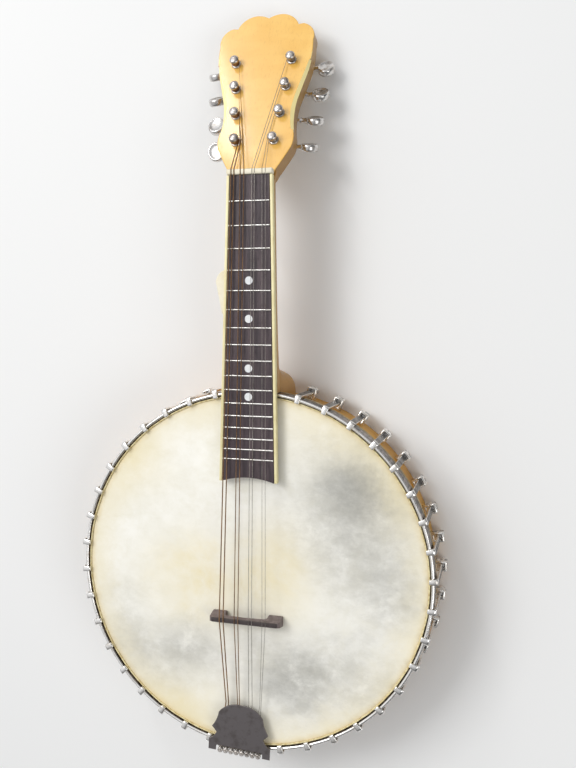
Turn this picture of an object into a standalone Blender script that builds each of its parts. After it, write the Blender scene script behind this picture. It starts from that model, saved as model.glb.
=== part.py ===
"""Banjo mandolin, lying on its back: the pot's back rim is on z = 0, the neck runs along +Y and the head faces +Z.

Lengths are in metres. The pot's pieces are turned about the pot's axis. The tuners are placed from an empty on the
headstock's face, and the tailpiece from one on the pot's axis.
"""

import math

import bmesh
import bpy
from mathutils import Matrix, Vector

# Gaps, and how far a cutter reaches past what it cuts
CLEAR = 0.0003
RUNNING = 0.0003
BORE_SPARE = 0.0005
PAST = 0.0100
FAR_PAST = 0.0500
SUNK = 0.0004

# Rim and the rings on it
RIM_RADIUS = 0.1330
RIM_WALL = 0.0090
RIM_HEIGHT = 0.0500
RIM_EDGE = 0.0015
TONE_ROD = 0.0055
SKIN = 0.0005
FLESH_WIDTH = 0.0025
FLESH_HEIGHT = 0.0025
HOOP_WALL = 0.0030
HOOP_HEIGHT = 0.0104
HOOP_RISE = 0.0024
HOOP_EDGE = 0.0006
RING_STEPS = 48

# Hooks, shoes and nuts
HOOK_COUNT = 36
NECK_GAP_ANGLE = math.radians(27.0)
TAIL_GAP_ANGLE = math.radians(24.0)
RING_TURN = math.radians(1.64)
HOOK_WIDTH = 0.0042
SHANK_THICK = 0.0018
SHANK_GAP = 0.0007
CLAW_THICK = 0.0016
CLAW_REACH = 0.0011
STUD_RADIUS = 0.0015
NUT_RADIUS = 0.0034
NUT_HEIGHT = 0.0062
SHOE_WIDTH = 0.0078
SHOE_HEIGHT = 0.0080
SHOE_BASE = 0.0110
SHOE_WALL = 0.0020
SHOE_SHEET = 0.0011
SHOE_FLOOR = 0.0025
SHOE_SUNK = 0.0012

# Dowel stick, brace and tail bolt
DOWEL_WIDTH = 0.0220
DOWEL_HEIGHT = 0.0240
DOWEL_MIDDLE = 0.0260
BRACE_WIDTH = 0.0420
BRACE_HEIGHT = 0.0340
BRACE_THICK = 0.0090
BOLT_RADIUS = 0.0025
BOLT_COLLAR = 0.0050
BOLT_HEAD = 0.0045
BOLT_HEAD_LENGTH = 0.0036
BOLT_DEPTH = 0.0180
BOLT_EDGE = 0.0010

# Tailpiece
TAIL_TURN = math.radians(2.8)
BRACKET_THICK = 0.0012
BRACKET_WIDTH = 0.0360
BRACKET_LEG = 0.0160
BRACKET_INSET = 0.0210
BRACKET_BASE = 0.0180
BRACKET_CORNER = 0.0060
BRACKET_TRIM = 0.0010
COVER_THICK = 0.0010
COVER_LIFT = 0.0020
COVER_INSET = 0.0310
COVER_OVERHANG = 0.0013
COVER_HALF = 0.0245
COVER_EAR = 0.0060
COVER_RECESS = 0.0042
COVER_FOOT = 0.0016
COVER_FOOT_LENGTH = 0.0060
PRONG_RADIUS = 0.0004
PRONG_RISE = 0.0034
PRONG_INSET = 0.0007
PRONG_PITCH = 0.0043

# Neck and fingerboard, measured from the front edge of the nut towards the pot
NUT_TO_POT = 0.2932
SCALE_LENGTH = 0.3300
FRETS = 17
BOARD_LENGTH = 0.2233
BOARD_HOLLOW = 0.0033
BOARD_HALF_AT_NUT = 0.0173
BOARD_HALF_AT_END = 0.0224
BOARD_THICK = 0.0045
BOARD_LIFT = 0.0015
BINDING = 0.0021
FRET_WIDTH = 0.0013
FRET_RISE = 0.0009
DOT_RADIUS = 0.0030
DOT_DEPTH = 0.0012
DOT_FRETS = (5, 7, 10, 12)
NUT_LENGTH = 0.0043
NUT_RISE = 0.0012
NUT_EDGE = 0.0006
NECK_DEPTH = 0.0150
NECK_END_DEPTH = 0.0240
NECK_END_SUNK = 0.0060
HEEL_DEPTH = 0.0200
HEEL_DEPTH_PLACE = 0.0250
HEEL_START = 0.0450
NECK_SWELL = 0.0020
VOLUTE_SUNK = 0.0010
VOLUTE_SECTIONS = (
    (0.0080, 0.0193, 0.0148, 3.2),
    (0.0190, 0.0173, 0.0134, 2.4),
    (0.0340, 0.0104, 0.0114, 2.2),
)
HEEL_BOTTOM = 0.0120
HEEL_HALF = 0.0238
HEEL_REACH = 0.0190
HEEL_SUNK = 0.0080
NECK_FIT = 0.0004
PIP_START = 0.0660
PIP_LENGTH = 0.0370
PIP_REACH = 0.0078
PIP_THICK = 0.0035
PIP_DROP = 0.0008

# Headstock, measured along its face from the nut
HEAD_TILT = math.radians(19.07)
HEAD_DROP = 0.0035
HEAD_THICK = 0.0120
HEAD_TIP = 0.1360
HEAD_CENTRE = 0.1332
CHAMFER_DEPTH = 0.0020
HEAD_ARC_STEPS = 5

# Right half of the headstock's outline. A row of two is a point, and a row of four is an arc through one to another
HEAD_OUTLINE = (
    (0.0090, -0.0030),
    (0.0172, 0.0020),
    (0.0185, 0.0050),
    (0.0234, 0.0135, 0.0280, 0.0222),
    (0.0291, 0.0280, 0.0288, 0.0335),
    (0.0273, 0.0475, 0.0287, 0.0620),
    (0.0342, 0.0830),
    (0.0367, 0.0980, 0.0367, 0.1110),
    (0.0347, 0.1215, 0.0280, 0.1262),
    (0.0240, 0.1257),
    (0.0195, 0.1322, 0.0105, HEAD_TIP),
    (0.0050, 0.1354, 0.0, HEAD_CENTRE),
)

# The waist's chamfer: distance along the face, and its inner and outer edges across it
CHAMFER_STATIONS = (
    (0.0360, 0.0266, 0.0285),
    (0.0400, 0.0257, 0.0280),
    (0.0475, 0.0249, 0.0274),
    (0.0546, 0.0250, 0.0278),
    (0.0650, 0.0269, 0.0297),
    (0.0763, 0.0301, 0.0326),
    (0.0858, 0.0328, 0.0349),
    (0.0940, 0.0352, 0.0366),
)

# Tuners
POST_ALONG = 0.0277
POST_PITCH = 0.02217
POST_HALF = 0.0145
POST_SPLAY = math.radians(6.2)
POSTS_A_SIDE = 4
POST_RADIUS = 0.00245
POST_CAP = 0.0029
POST_RISE = 0.0075
POST_DOME = 0.0014
POST_NECK = 0.0024
POST_SHOULDER = 0.0018
POST_WAIST = 0.0019
FERRULE_RADIUS = 0.0038
FERRULE_SLOPE = 0.0003
FERRULE_HEIGHT = 0.0009
PLATE_WIDTH = 0.0140
PLATE_THICK = 0.0012
PLATE_START = 0.0090
PLATE_END = 0.01425
PLATE_CORNER = 0.0030
TEETH = 14
GEAR_RADIUS = 0.00455
TOOTH_RISE = 0.0003
TOOTH_DROP = 0.0006
GEAR_THICK = 0.0024
WORM_RADIUS = 0.00195
WORM_CORE = 0.0014
THREAD_TURNS = 2.4
THREAD_HALF = 0.0003
WORM_DEPTH = 0.0190
LUG_THICK = 0.0012
LUG_PLACE = 0.0036
LUG_HALF = 0.0024
KNOB_START = 0.0148
KNOB_LENGTH = 0.0132
KNOB_WIDTH = 0.0146
KNOB_THICK = 0.0052
KNOB_WEB = 0.5
KNOB_ANGLES_RIGHT = (-54, -48, -30, -23)
KNOB_ANGLES_LEFT = (-18, 7, 46, 50)
SHAFT_END = 0.0012
LUG_DROP = 0.0016

# Strings and bridge
BRIDGE_BACK = 0.0015
BRIDGE_SHIFT = -0.0018
BRIDGE_LENGTH = 0.0550
BRIDGE_HEIGHT = 0.0121
BRIDGE_TOP = 0.0030
BRIDGE_FOOT = 0.0076
BRIDGE_FOOT_LENGTH = 0.0110
BRIDGE_BAR = 0.0048
BRIDGE_ARCH_SPRING = 0.0044
BRIDGE_ARCH_RUN = 0.0035
BRIDGE_ARCH_DROP = 0.0004
BRIDGE_CORNER = 0.0025
BRIDGE_FOOT_HEIGHT = 0.0020
STRING_RADII = (0.00045, 0.00045, 0.00035, 0.00035, 0.00020, 0.00020, 0.00016, 0.00016)
STRINGS_AT_NUT = (-0.0135, -0.0112, -0.0065, -0.0037, 0.0023, 0.0042, 0.0099, 0.0123)
STRINGS_AT_BRIDGE = (-0.0206, -0.0176, -0.0089, -0.0060, 0.0021, 0.0047, 0.0128, 0.0153)
STRINGS_AT_TAIL = (-0.0177, -0.0157, -0.0084, -0.0069, 0.0006, 0.0032, 0.0092, 0.0102)

# Heights of the stack, worked out from the sizes above
TONE_BOTTOM = RIM_HEIGHT + CLEAR
HEAD_BOTTOM = TONE_BOTTOM + TONE_ROD + CLEAR
HEAD_TOP = HEAD_BOTTOM + SKIN
HOOP_TOP = HEAD_TOP + HOOP_RISE
HOOP_BOTTOM = HOOP_TOP - HOOP_HEIGHT
FLAP_TOP = HOOP_BOTTOM - CLEAR
FLESH_TOP = FLAP_TOP - CLEAR
FLESH_BOTTOM = FLESH_TOP - FLESH_HEIGHT
FOLD_TOP = FLESH_BOTTOM - CLEAR
FOLD_BOTTOM = FOLD_TOP - SKIN
BOARD_UNDER = HOOP_TOP + BOARD_LIFT
BOARD_TOP = BOARD_UNDER + BOARD_THICK
NECK_TOP = BOARD_UNDER - CLEAR
FRET_TOP = BOARD_TOP + FRET_RISE
SHOE_TOP = SHOE_BASE + SHOE_HEIGHT

# Radii from the pot's axis
RIM_INSIDE = RIM_RADIUS - RIM_WALL
SKIRT_INSIDE = RIM_RADIUS + CLEAR
SKIRT_OUTSIDE = SKIRT_INSIDE + SKIN
FLESH_INSIDE = SKIRT_OUTSIDE + CLEAR
FLESH_OUTSIDE = FLESH_INSIDE + FLESH_WIDTH
FLAP_INSIDE = FLESH_OUTSIDE + CLEAR
FLAP_OUTSIDE = FLAP_INSIDE + SKIN
HOOP_INSIDE = SKIRT_OUTSIDE + CLEAR + 0.0001
HOOP_OUTSIDE = HOOP_INSIDE + HOOP_WALL
SHANK_INSIDE = max(HOOP_OUTSIDE, FLAP_OUTSIDE) + SHANK_GAP
SHANK_OUTSIDE = SHANK_INSIDE + SHANK_THICK
SHANK_MIDDLE = (SHANK_INSIDE + SHANK_OUTSIDE) / 2
SHOE_OUTSIDE = SHANK_MIDDLE + STUD_RADIUS + RUNNING + SHOE_WALL
LEG_INSIDE = FLAP_OUTSIDE + CLEAR * 2
LEG_OUTSIDE = LEG_INSIDE + BRACKET_THICK
BOLT_END = LEG_OUTSIDE + CLEAR + BOLT_HEAD_LENGTH
BRACKET_FRONT = RIM_RADIUS - BRACKET_INSET
COVER_FRONT = RIM_RADIUS - COVER_INSET
COVER_BACK = LEG_OUTSIDE + COVER_OVERHANG
PRONG_PLACE = LEG_OUTSIDE - PRONG_INSET
BRIDGE_PLACE = SCALE_LENGTH - BRIDGE_BACK

# The origin is in the middle of the whole length, so the nut and the pot are placed from the two ends
TIP_REACH = HEAD_TIP * math.cos(HEAD_TILT)
TAIL_REACH = NUT_TO_POT + BOLT_END * math.cos(TAIL_TURN) + BOLT_HEAD * math.sin(TAIL_TURN)
NUT_Y = (TAIL_REACH - TIP_REACH) / 2
POT_Y = NUT_Y - NUT_TO_POT
POT = Vector((0.0, POT_Y, 0.0))


def clear_scene():
    for obj in list(bpy.data.objects):
        bpy.data.objects.remove(obj)


def new_collection(name):
    collection = bpy.data.collections.new(name)
    bpy.context.scene.collection.children.link(collection)
    return collection


def material(name, colour, roughness, metallic=0.0):
    found = bpy.data.materials.new(name)
    found.use_nodes = True
    shader = found.node_tree.nodes["Principled BSDF"]
    shader.inputs["Base Color"].default_value = (*colour, 1.0)
    shader.inputs["Roughness"].default_value = roughness
    shader.inputs["Metallic"].default_value = metallic
    return found


def object_of(name, data, where=None):
    """A new object with this mesh or curve, among the parts unless another collection is named."""
    obj = bpy.data.objects.new(name, data)
    (where or PARTS).objects.link(obj)
    return obj


def mesh_of(name, form):
    bmesh.ops.recalc_face_normals(form, faces=form.faces)
    mesh = bpy.data.meshes.new(name)
    form.to_mesh(mesh)
    form.free()
    return mesh


def evaluated_mesh(obj):
    """The object's mesh with its modifiers done, or its curve as a mesh with the caps welded on."""
    bpy.context.view_layer.update()
    graph = bpy.context.evaluated_depsgraph_get()
    mesh = bpy.data.meshes.new_from_object(obj.evaluated_get(graph))
    form = bmesh.new()
    form.from_mesh(mesh)
    bmesh.ops.remove_doubles(form, verts=form.verts, dist=0.000001)
    form.to_mesh(mesh)
    form.free()
    return mesh


def finished(obj):
    """The same object with its modifiers applied, in place."""
    mesh = evaluated_mesh(obj)
    made = object_of(obj.name + "_made", mesh, obj.users_collection[0])
    made.matrix_world = obj.matrix_world
    made.parent = obj.parent
    if obj.parent:
        made.matrix_parent_inverse = obj.matrix_parent_inverse
        made.matrix_basis = obj.matrix_basis
    name = obj.name
    bpy.data.objects.remove(obj)
    made.name = name
    return made


def smooth(obj, angle=35.0):
    obj.data.shade_smooth()
    obj.data.set_sharp_from_angle(angle=math.radians(angle))


def paint(obj, coat):
    obj.data.materials.clear()
    obj.data.materials.append(coat)
    return obj


def helper(obj):
    """Marks a cutter, or a piece that is joined into another."""
    obj.hide_render = True
    obj.display_type = "WIRE"
    return obj


def boolean(obj, other, operation):
    modifier = obj.modifiers.new(operation.title(), "BOOLEAN")
    modifier.operation = operation
    modifier.solver = "EXACT"
    modifier.object = helper(other)
    return obj


def cut(obj, other):
    return boolean(obj, other, "DIFFERENCE")


def join(obj, other):
    return boolean(obj, other, "UNION")


def box_into(form, low, high):
    """Adds a box between two corners."""
    low = Vector(low)
    high = Vector(high)
    place = Matrix.Translation((low + high) / 2) @ Matrix.Diagonal((*(high - low), 1.0))
    return bmesh.ops.create_cube(form, size=1.0, matrix=place)["verts"]


def rod_into(form, radius, start, end, sides=8, turn=0.0):
    """Adds a cylinder between two points."""
    start = Vector(start)
    run = Vector(end) - start
    place = Matrix.Translation(start + run / 2) @ run.to_track_quat("Z", "Y").to_matrix().to_4x4()
    place = place @ Matrix.Rotation(turn, 4, "Z")
    bmesh.ops.create_cone(
        form, cap_ends=True, segments=sides, radius1=radius, radius2=radius, depth=run.length, matrix=place
    )


def box(name, low, high, where=None):
    form = bmesh.new()
    box_into(form, low, high)
    return object_of(name, mesh_of(name, form), where)


def rod(name, radius, start, end, sides=16, where=None):
    form = bmesh.new()
    rod_into(form, radius, start, end, sides)
    return object_of(name, mesh_of(name, form), where)


def turned(name, profile, where=None, steps=RING_STEPS, centre=POT):
    """A closed (radius, height) profile turned about the vertical axis through the centre."""
    mesh = bpy.data.meshes.new(name)
    points = [(radius, 0.0, height) for radius, height in profile]
    on_axis = profile[0][0] == 0.0 and profile[-1][0] == 0.0
    count = len(points)
    edges = [(i, (i + 1) % count) for i in range(count - 1 if on_axis else count)]
    mesh.from_pydata(points, edges, [])
    obj = object_of(name, mesh, where)
    obj.location = centre
    screw = obj.modifiers.new("Turn", "SCREW")
    screw.axis = "Z"
    screw.steps = steps
    screw.render_steps = steps
    screw.use_merge_vertices = True
    screw.merge_threshold = 0.00001
    screw.use_normal_calculate = True
    mesh = evaluated_mesh(obj)
    form = bmesh.new()
    form.from_mesh(mesh)
    bmesh.ops.recalc_face_normals(form, faces=form.faces)
    form.to_mesh(mesh)
    form.free()
    obj.modifiers.clear()
    obj.data = mesh
    return obj


def arc(start, through, end, steps):
    """Points after the start on the circle through three points in a plane."""
    ax, ay = start
    bx, by = through
    cx, cy = end
    twice = 2 * (ax * (by - cy) + bx * (cy - ay) + cx * (ay - by))
    a2 = ax * ax + ay * ay
    b2 = bx * bx + by * by
    c2 = cx * cx + cy * cy
    mx = (a2 * (by - cy) + b2 * (cy - ay) + c2 * (ay - by)) / twice
    my = (a2 * (cx - bx) + b2 * (ax - cx) + c2 * (bx - ax)) / twice
    radius = math.hypot(ax - mx, ay - my)
    first = math.atan2(ay - my, ax - mx)
    middle = (math.atan2(by - my, bx - mx) - first) % math.tau
    last = (math.atan2(cy - my, cx - mx) - first) % math.tau
    sweep = last if middle < last else last - math.tau
    turns = [first + sweep * i / steps for i in range(1, steps + 1)]
    return [(mx + radius * math.cos(turn), my + radius * math.sin(turn)) for turn in turns]


def outline(start, *moves):
    """Points from the start through each move: a point to go straight to, or (through, end, steps) for an arc."""
    points = [start]
    for move in moves:
        if isinstance(move[0], tuple):
            through, end, steps = move
            points += arc(points[-1], through, end, steps)
        else:
            points.append(move)
    return points


def plate(name, points, low, high, where=None):
    """A flat outline filled and raised between two heights."""
    curve = bpy.data.curves.new(name, "CURVE")
    curve.dimensions = "2D"
    curve.fill_mode = "BOTH"
    curve.extrude = (high - low) / 2
    spline = curve.splines.new("POLY")
    spline.points.add(len(points) - 1)
    for point, (x, y) in zip(spline.points, points):
        point.co = (x, y, 0.0, 1.0)
    spline.use_cyclic_u = True
    drawn = object_of(name, curve, where)
    mesh = evaluated_mesh(drawn)
    bpy.data.objects.remove(drawn)
    mesh.transform(Matrix.Translation((0.0, 0.0, (high + low) / 2)))
    return object_of(name, mesh, where)


def loft(name, sections, where=None):
    """A closed solid through rings of points, with a face on each end."""
    form = bmesh.new()
    rings = [[form.verts.new(point) for point in section] for section in sections]
    count = len(rings[0])
    for near, far in zip(rings, rings[1:]):
        for i in range(count):
            k = (i + 1) % count
            form.faces.new((near[i], near[k], far[k], far[i]))
    form.faces.new(rings[0])
    form.faces.new(list(reversed(rings[-1])))
    return object_of(name, mesh_of(name, form), where)


def wire(name, points, radius):
    """A round wire through the points."""
    curve = bpy.data.curves.new(name, "CURVE")
    curve.dimensions = "3D"
    curve.bevel_depth = radius
    curve.bevel_resolution = 2
    curve.use_fill_caps = True
    spline = curve.splines.new("POLY")
    spline.points.add(len(points) - 1)
    for point, place in zip(spline.points, points):
        point.co = (*place, 1.0)
    return object_of(name, curve)


def copies_round(template, angles, name, where):
    """One mesh that holds the template at each angle about the pot's axis, where no two touch."""
    form = bmesh.new()
    for angle in angles:
        turned_copy = template.copy()
        turned_copy.transform(Matrix.Rotation(angle, 4, "Z"))
        form.from_mesh(turned_copy)
        bpy.data.meshes.remove(turned_copy)
    obj = object_of(name, mesh_of(name, form), where)
    obj.location = POT
    return obj


def hook_angles():
    """Angles from +X of the hooks, an even pitch on each side between the neck's gap and the tailpiece's."""
    half = HOOK_COUNT // 2
    pitch = (math.pi - NECK_GAP_ANGLE / 2 - TAIL_GAP_ANGLE / 2) / (half - 1)
    from_neck = [NECK_GAP_ANGLE / 2 + pitch * k for k in range(half)]
    ahead = math.pi / 2 - RING_TURN
    return [ahead - side * angle for side in (1, -1) for angle in from_neck]


def make_shoe():
    """A box bracket against the rim at +X: a pocket open at the top, and the stud's bore through its floor."""
    half = SHOE_WIDTH / 2
    shoe = box("shoe", (RIM_RADIUS - SHOE_SUNK, -half, SHOE_BASE), (SHOE_OUTSIDE, half, SHOE_TOP), CUTTERS)
    pocket = box(
        "shoe_pocket",
        (RIM_RADIUS + SHOE_SHEET, -half + SHOE_SHEET, SHOE_BASE + SHOE_FLOOR),
        (SHOE_OUTSIDE - SHOE_SHEET, half - SHOE_SHEET, SHOE_TOP + PAST),
        CUTTERS,
    )
    bore = rod(
        "shoe_bore",
        STUD_RADIUS + RUNNING,
        (SHANK_MIDDLE, 0.0, SHOE_BASE - PAST),
        (SHANK_MIDDLE, 0.0, SHOE_TOP + PAST),
        6,
        CUTTERS,
    )
    cut(shoe, pocket)
    cut(shoe, bore)
    return evaluated_mesh(shoe)


def make_rim():
    rim = turned(
        "rim",
        [
            (RIM_INSIDE, RIM_EDGE),
            (RIM_INSIDE, RIM_HEIGHT - RIM_EDGE),
            (RIM_INSIDE + RIM_EDGE, RIM_HEIGHT),
            (RIM_RADIUS, RIM_HEIGHT),
            (RIM_RADIUS, RIM_EDGE),
            (RIM_RADIUS - RIM_EDGE, 0.0),
            (RIM_INSIDE + RIM_EDGE, 0.0),
        ],
    )
    join(rim, copies_round(make_shoe(), hook_angles(), "shoes", CUTTERS))
    gap = Vector((DOWEL_WIDTH / 2 + CLEAR, 0.0, DOWEL_HEIGHT / 2 + CLEAR))
    passage = box(
        "dowel_passage",
        (-gap.x, RIM_INSIDE - PAST, DOWEL_MIDDLE - gap.z),
        (gap.x, RIM_RADIUS + PAST, DOWEL_MIDDLE + gap.z),
        CUTTERS,
    )
    passage.location = POT
    cut(rim, passage)
    bolt_way = rod(
        "bolt_way",
        BOLT_RADIUS + CLEAR,
        (0.0, -RIM_INSIDE + PAST, DOWEL_MIDDLE),
        (0.0, -RIM_RADIUS - PAST, DOWEL_MIDDLE),
        12,
        CUTTERS,
    )
    bolt_way.parent = TAIL_FRAME
    cut(rim, bolt_way)
    return paint(finished(rim), RIM_WOOD)


def make_tone_ring():
    radius = TONE_ROD / 2
    sides = 6
    corner = radius / math.cos(math.pi / sides)
    middle = (RIM_RADIUS - corner, TONE_BOTTOM + radius)
    angles = [math.tau * i / sides for i in range(sides)]
    profile = [(middle[0] + corner * math.cos(-a), middle[1] + corner * math.sin(-a)) for a in angles]
    return paint(turned("tone_ring", profile), STEEL)


def make_head():
    """The skin: a disc, its skirt outside the rim, the fold under the flesh hoop and the flap outside it."""
    profile = [
        (0.0, HEAD_TOP),
        (SKIRT_OUTSIDE - SKIN, HEAD_TOP),
        (SKIRT_OUTSIDE, HEAD_TOP - SKIN),
        (SKIRT_OUTSIDE, FOLD_TOP),
        (FLAP_INSIDE, FOLD_TOP),
        (FLAP_INSIDE, FLAP_TOP),
        (FLAP_OUTSIDE, FLAP_TOP),
        (FLAP_OUTSIDE, FOLD_BOTTOM),
        (SKIRT_INSIDE, FOLD_BOTTOM),
        (SKIRT_INSIDE, HEAD_BOTTOM),
        (0.0, HEAD_BOTTOM),
    ]
    return paint(turned("head", profile), CALFSKIN)


def make_flesh_hoop():
    profile = [
        (FLESH_INSIDE, FLESH_BOTTOM),
        (FLESH_INSIDE, FLESH_TOP),
        (FLESH_OUTSIDE, FLESH_TOP),
        (FLESH_OUTSIDE, FLESH_BOTTOM),
    ]
    return paint(turned("flesh_hoop", profile), STEEL)


def make_hook():
    """A hook at +X: claw over the hoop, flat shank outside it, threaded stud and the nut under the shoe."""
    claw_top = HOOP_TOP + CLAW_THICK
    claw_end = HOOP_INSIDE - CLAW_REACH
    shank_bottom = SHOE_BASE + SHOE_FLOOR * 1.6
    bend = CLAW_THICK * 0.6
    profile = [
        (claw_end, HOOP_TOP - SUNK),
        (claw_end, claw_top - bend / 2),
        (claw_end + bend, claw_top),
        (SHANK_OUTSIDE - bend, claw_top),
        (SHANK_OUTSIDE, claw_top - bend),
        (SHANK_OUTSIDE, shank_bottom),
        (SHANK_INSIDE, shank_bottom),
        (SHANK_INSIDE, HOOP_TOP - SUNK),
    ]
    hook = plate("hook", profile, -HOOK_WIDTH / 2, HOOK_WIDTH / 2, CUTTERS)
    hook.data.transform(Matrix.Rotation(math.pi / 2, 4, "X"))
    nut_top = SHOE_BASE - CLEAR
    stud = rod(
        "stud",
        STUD_RADIUS,
        (SHANK_MIDDLE, 0.0, nut_top - NUT_HEIGHT / 2),
        (SHANK_MIDDLE, 0.0, shank_bottom + STUD_RADIUS),
        6,
        CUTTERS,
    )
    nut = rod(
        "hook_nut",
        NUT_RADIUS,
        (SHANK_MIDDLE, 0.0, nut_top - NUT_HEIGHT),
        (SHANK_MIDDLE, 0.0, nut_top),
        6,
        CUTTERS,
    )
    join(hook, stud)
    join(hook, nut)
    return evaluated_mesh(hook)


def make_tension_hoop():
    """The hoop with a rounded top edge, and the hooks that hold it down with their nuts."""
    profile = [
        (HOOP_INSIDE, HOOP_BOTTOM),
        (HOOP_INSIDE, HOOP_TOP - HOOP_EDGE),
        (HOOP_INSIDE + HOOP_EDGE, HOOP_TOP),
        (HOOP_OUTSIDE - HOOP_EDGE, HOOP_TOP),
        (HOOP_OUTSIDE, HOOP_TOP - HOOP_EDGE),
        (HOOP_OUTSIDE, HOOP_BOTTOM),
    ]
    hoop = turned("tension_hoop", profile)
    join(hoop, copies_round(make_hook(), hook_angles(), "hooks", CUTTERS))
    return paint(finished(hoop), NICKEL)


def pot_cylinder(name, radius, low, high):
    return turned(name, [(0.0, high), (radius, high), (radius, low), (0.0, low)], CUTTERS)


def make_dowel_stick():
    """Square stick from the heel, through the rim, to the rim's inside at the tail."""
    half = DOWEL_WIDTH / 2
    stick = box(
        "dowel_stick",
        (-half, -RIM_RADIUS, DOWEL_MIDDLE - DOWEL_HEIGHT / 2),
        (half, RIM_RADIUS + CLEAR, DOWEL_MIDDLE + DOWEL_HEIGHT / 2),
    )
    stick.location = POT
    inside = pot_cylinder("rim_inside", RIM_INSIDE - CLEAR, -PAST, RIM_HEIGHT)
    outside = pot_cylinder("rim_outside", RIM_RADIUS, -PAST, RIM_HEIGHT)
    ahead = box(
        "neck_side",
        (-FAR_PAST, 0.0, -PAST * 2),
        (FAR_PAST, RIM_RADIUS * 2, RIM_HEIGHT * 2),
        CUTTERS,
    )
    ahead.location = POT
    boolean(outside, ahead, "INTERSECT")
    join(inside, outside)
    boolean(stick, inside, "INTERSECT")
    bore = rod(
        "bolt_bore",
        BOLT_RADIUS + CLEAR,
        (0.0, -RIM_INSIDE - PAST, DOWEL_MIDDLE),
        (0.0, -RIM_INSIDE + BOLT_DEPTH + CLEAR, DOWEL_MIDDLE),
        12,
        CUTTERS,
    )
    bore.parent = TAIL_FRAME
    cut(stick, bore)
    return paint(finished(stick), MAPLE)


def make_neck_brace():
    """A plate round the dowel stick that bears on the rim's inside under the neck."""
    place = RIM_INSIDE - BRACE_THICK
    brace = box(
        "neck_brace",
        (-BRACE_WIDTH / 2, place, DOWEL_MIDDLE - BRACE_HEIGHT / 2),
        (BRACE_WIDTH / 2, place + BRACE_THICK, DOWEL_MIDDLE + BRACE_HEIGHT / 2),
    )
    brace.location = POT
    gap = Vector((DOWEL_WIDTH / 2 + CLEAR, 0.0, DOWEL_HEIGHT / 2 + CLEAR))
    hole = box(
        "brace_hole",
        (-gap.x, place - PAST, DOWEL_MIDDLE - gap.z),
        (gap.x, place + PAST * 2, DOWEL_MIDDLE + gap.z),
        CUTTERS,
    )
    hole.location = POT
    bearing = pot_cylinder("brace_bearing", RIM_INSIDE - CLEAR, -PAST, RIM_HEIGHT * 1.2)
    boolean(brace, bearing, "INTERSECT")
    cut(brace, hole)
    return paint(finished(brace), NICKEL)


def make_tail_bolt():
    """Bolt through the bracket's leg and the rim into the dowel stick, with a collar between leg and rim."""
    inner = -RIM_INSIDE + BOLT_DEPTH
    profile = [
        (0.0, inner),
        (BOLT_RADIUS, inner),
        (BOLT_RADIUS, -RIM_RADIUS - CLEAR * 2),
        (BOLT_COLLAR, -RIM_RADIUS - CLEAR * 2),
        (BOLT_COLLAR, -LEG_INSIDE + CLEAR),
        (BOLT_RADIUS, -LEG_INSIDE + CLEAR),
        (BOLT_RADIUS, -LEG_OUTSIDE - CLEAR),
        (BOLT_HEAD, -LEG_OUTSIDE - CLEAR),
        (BOLT_HEAD, -BOLT_END + BOLT_EDGE),
        (BOLT_HEAD - BOLT_EDGE, -BOLT_END),
        (0.0, -BOLT_END),
    ]
    bolt = turned("tail_bolt", profile, steps=12, centre=(0.0, 0.0, 0.0))
    bolt.data.transform(Matrix.Rotation(-math.pi / 2, 4, "X"))
    bolt.data.transform(Matrix.Translation((0.0, 0.0, DOWEL_MIDDLE)))
    bolt.parent = TAIL_FRAME
    smooth(bolt)
    return paint(bolt, NICKEL)


def prong_across(k):
    """A prong's place across the tailpiece, in the tailpiece's own frame."""
    return (k - (len(STRING_RADII) - 1) / 2) * PRONG_PITCH


def tail_point(across, out, level):
    """A point from places across the tailpiece and outwards from the pot's axis."""
    return POT + Matrix.Rotation(-TAIL_TURN, 3, "Z") @ Vector((across, -out, level))


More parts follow.
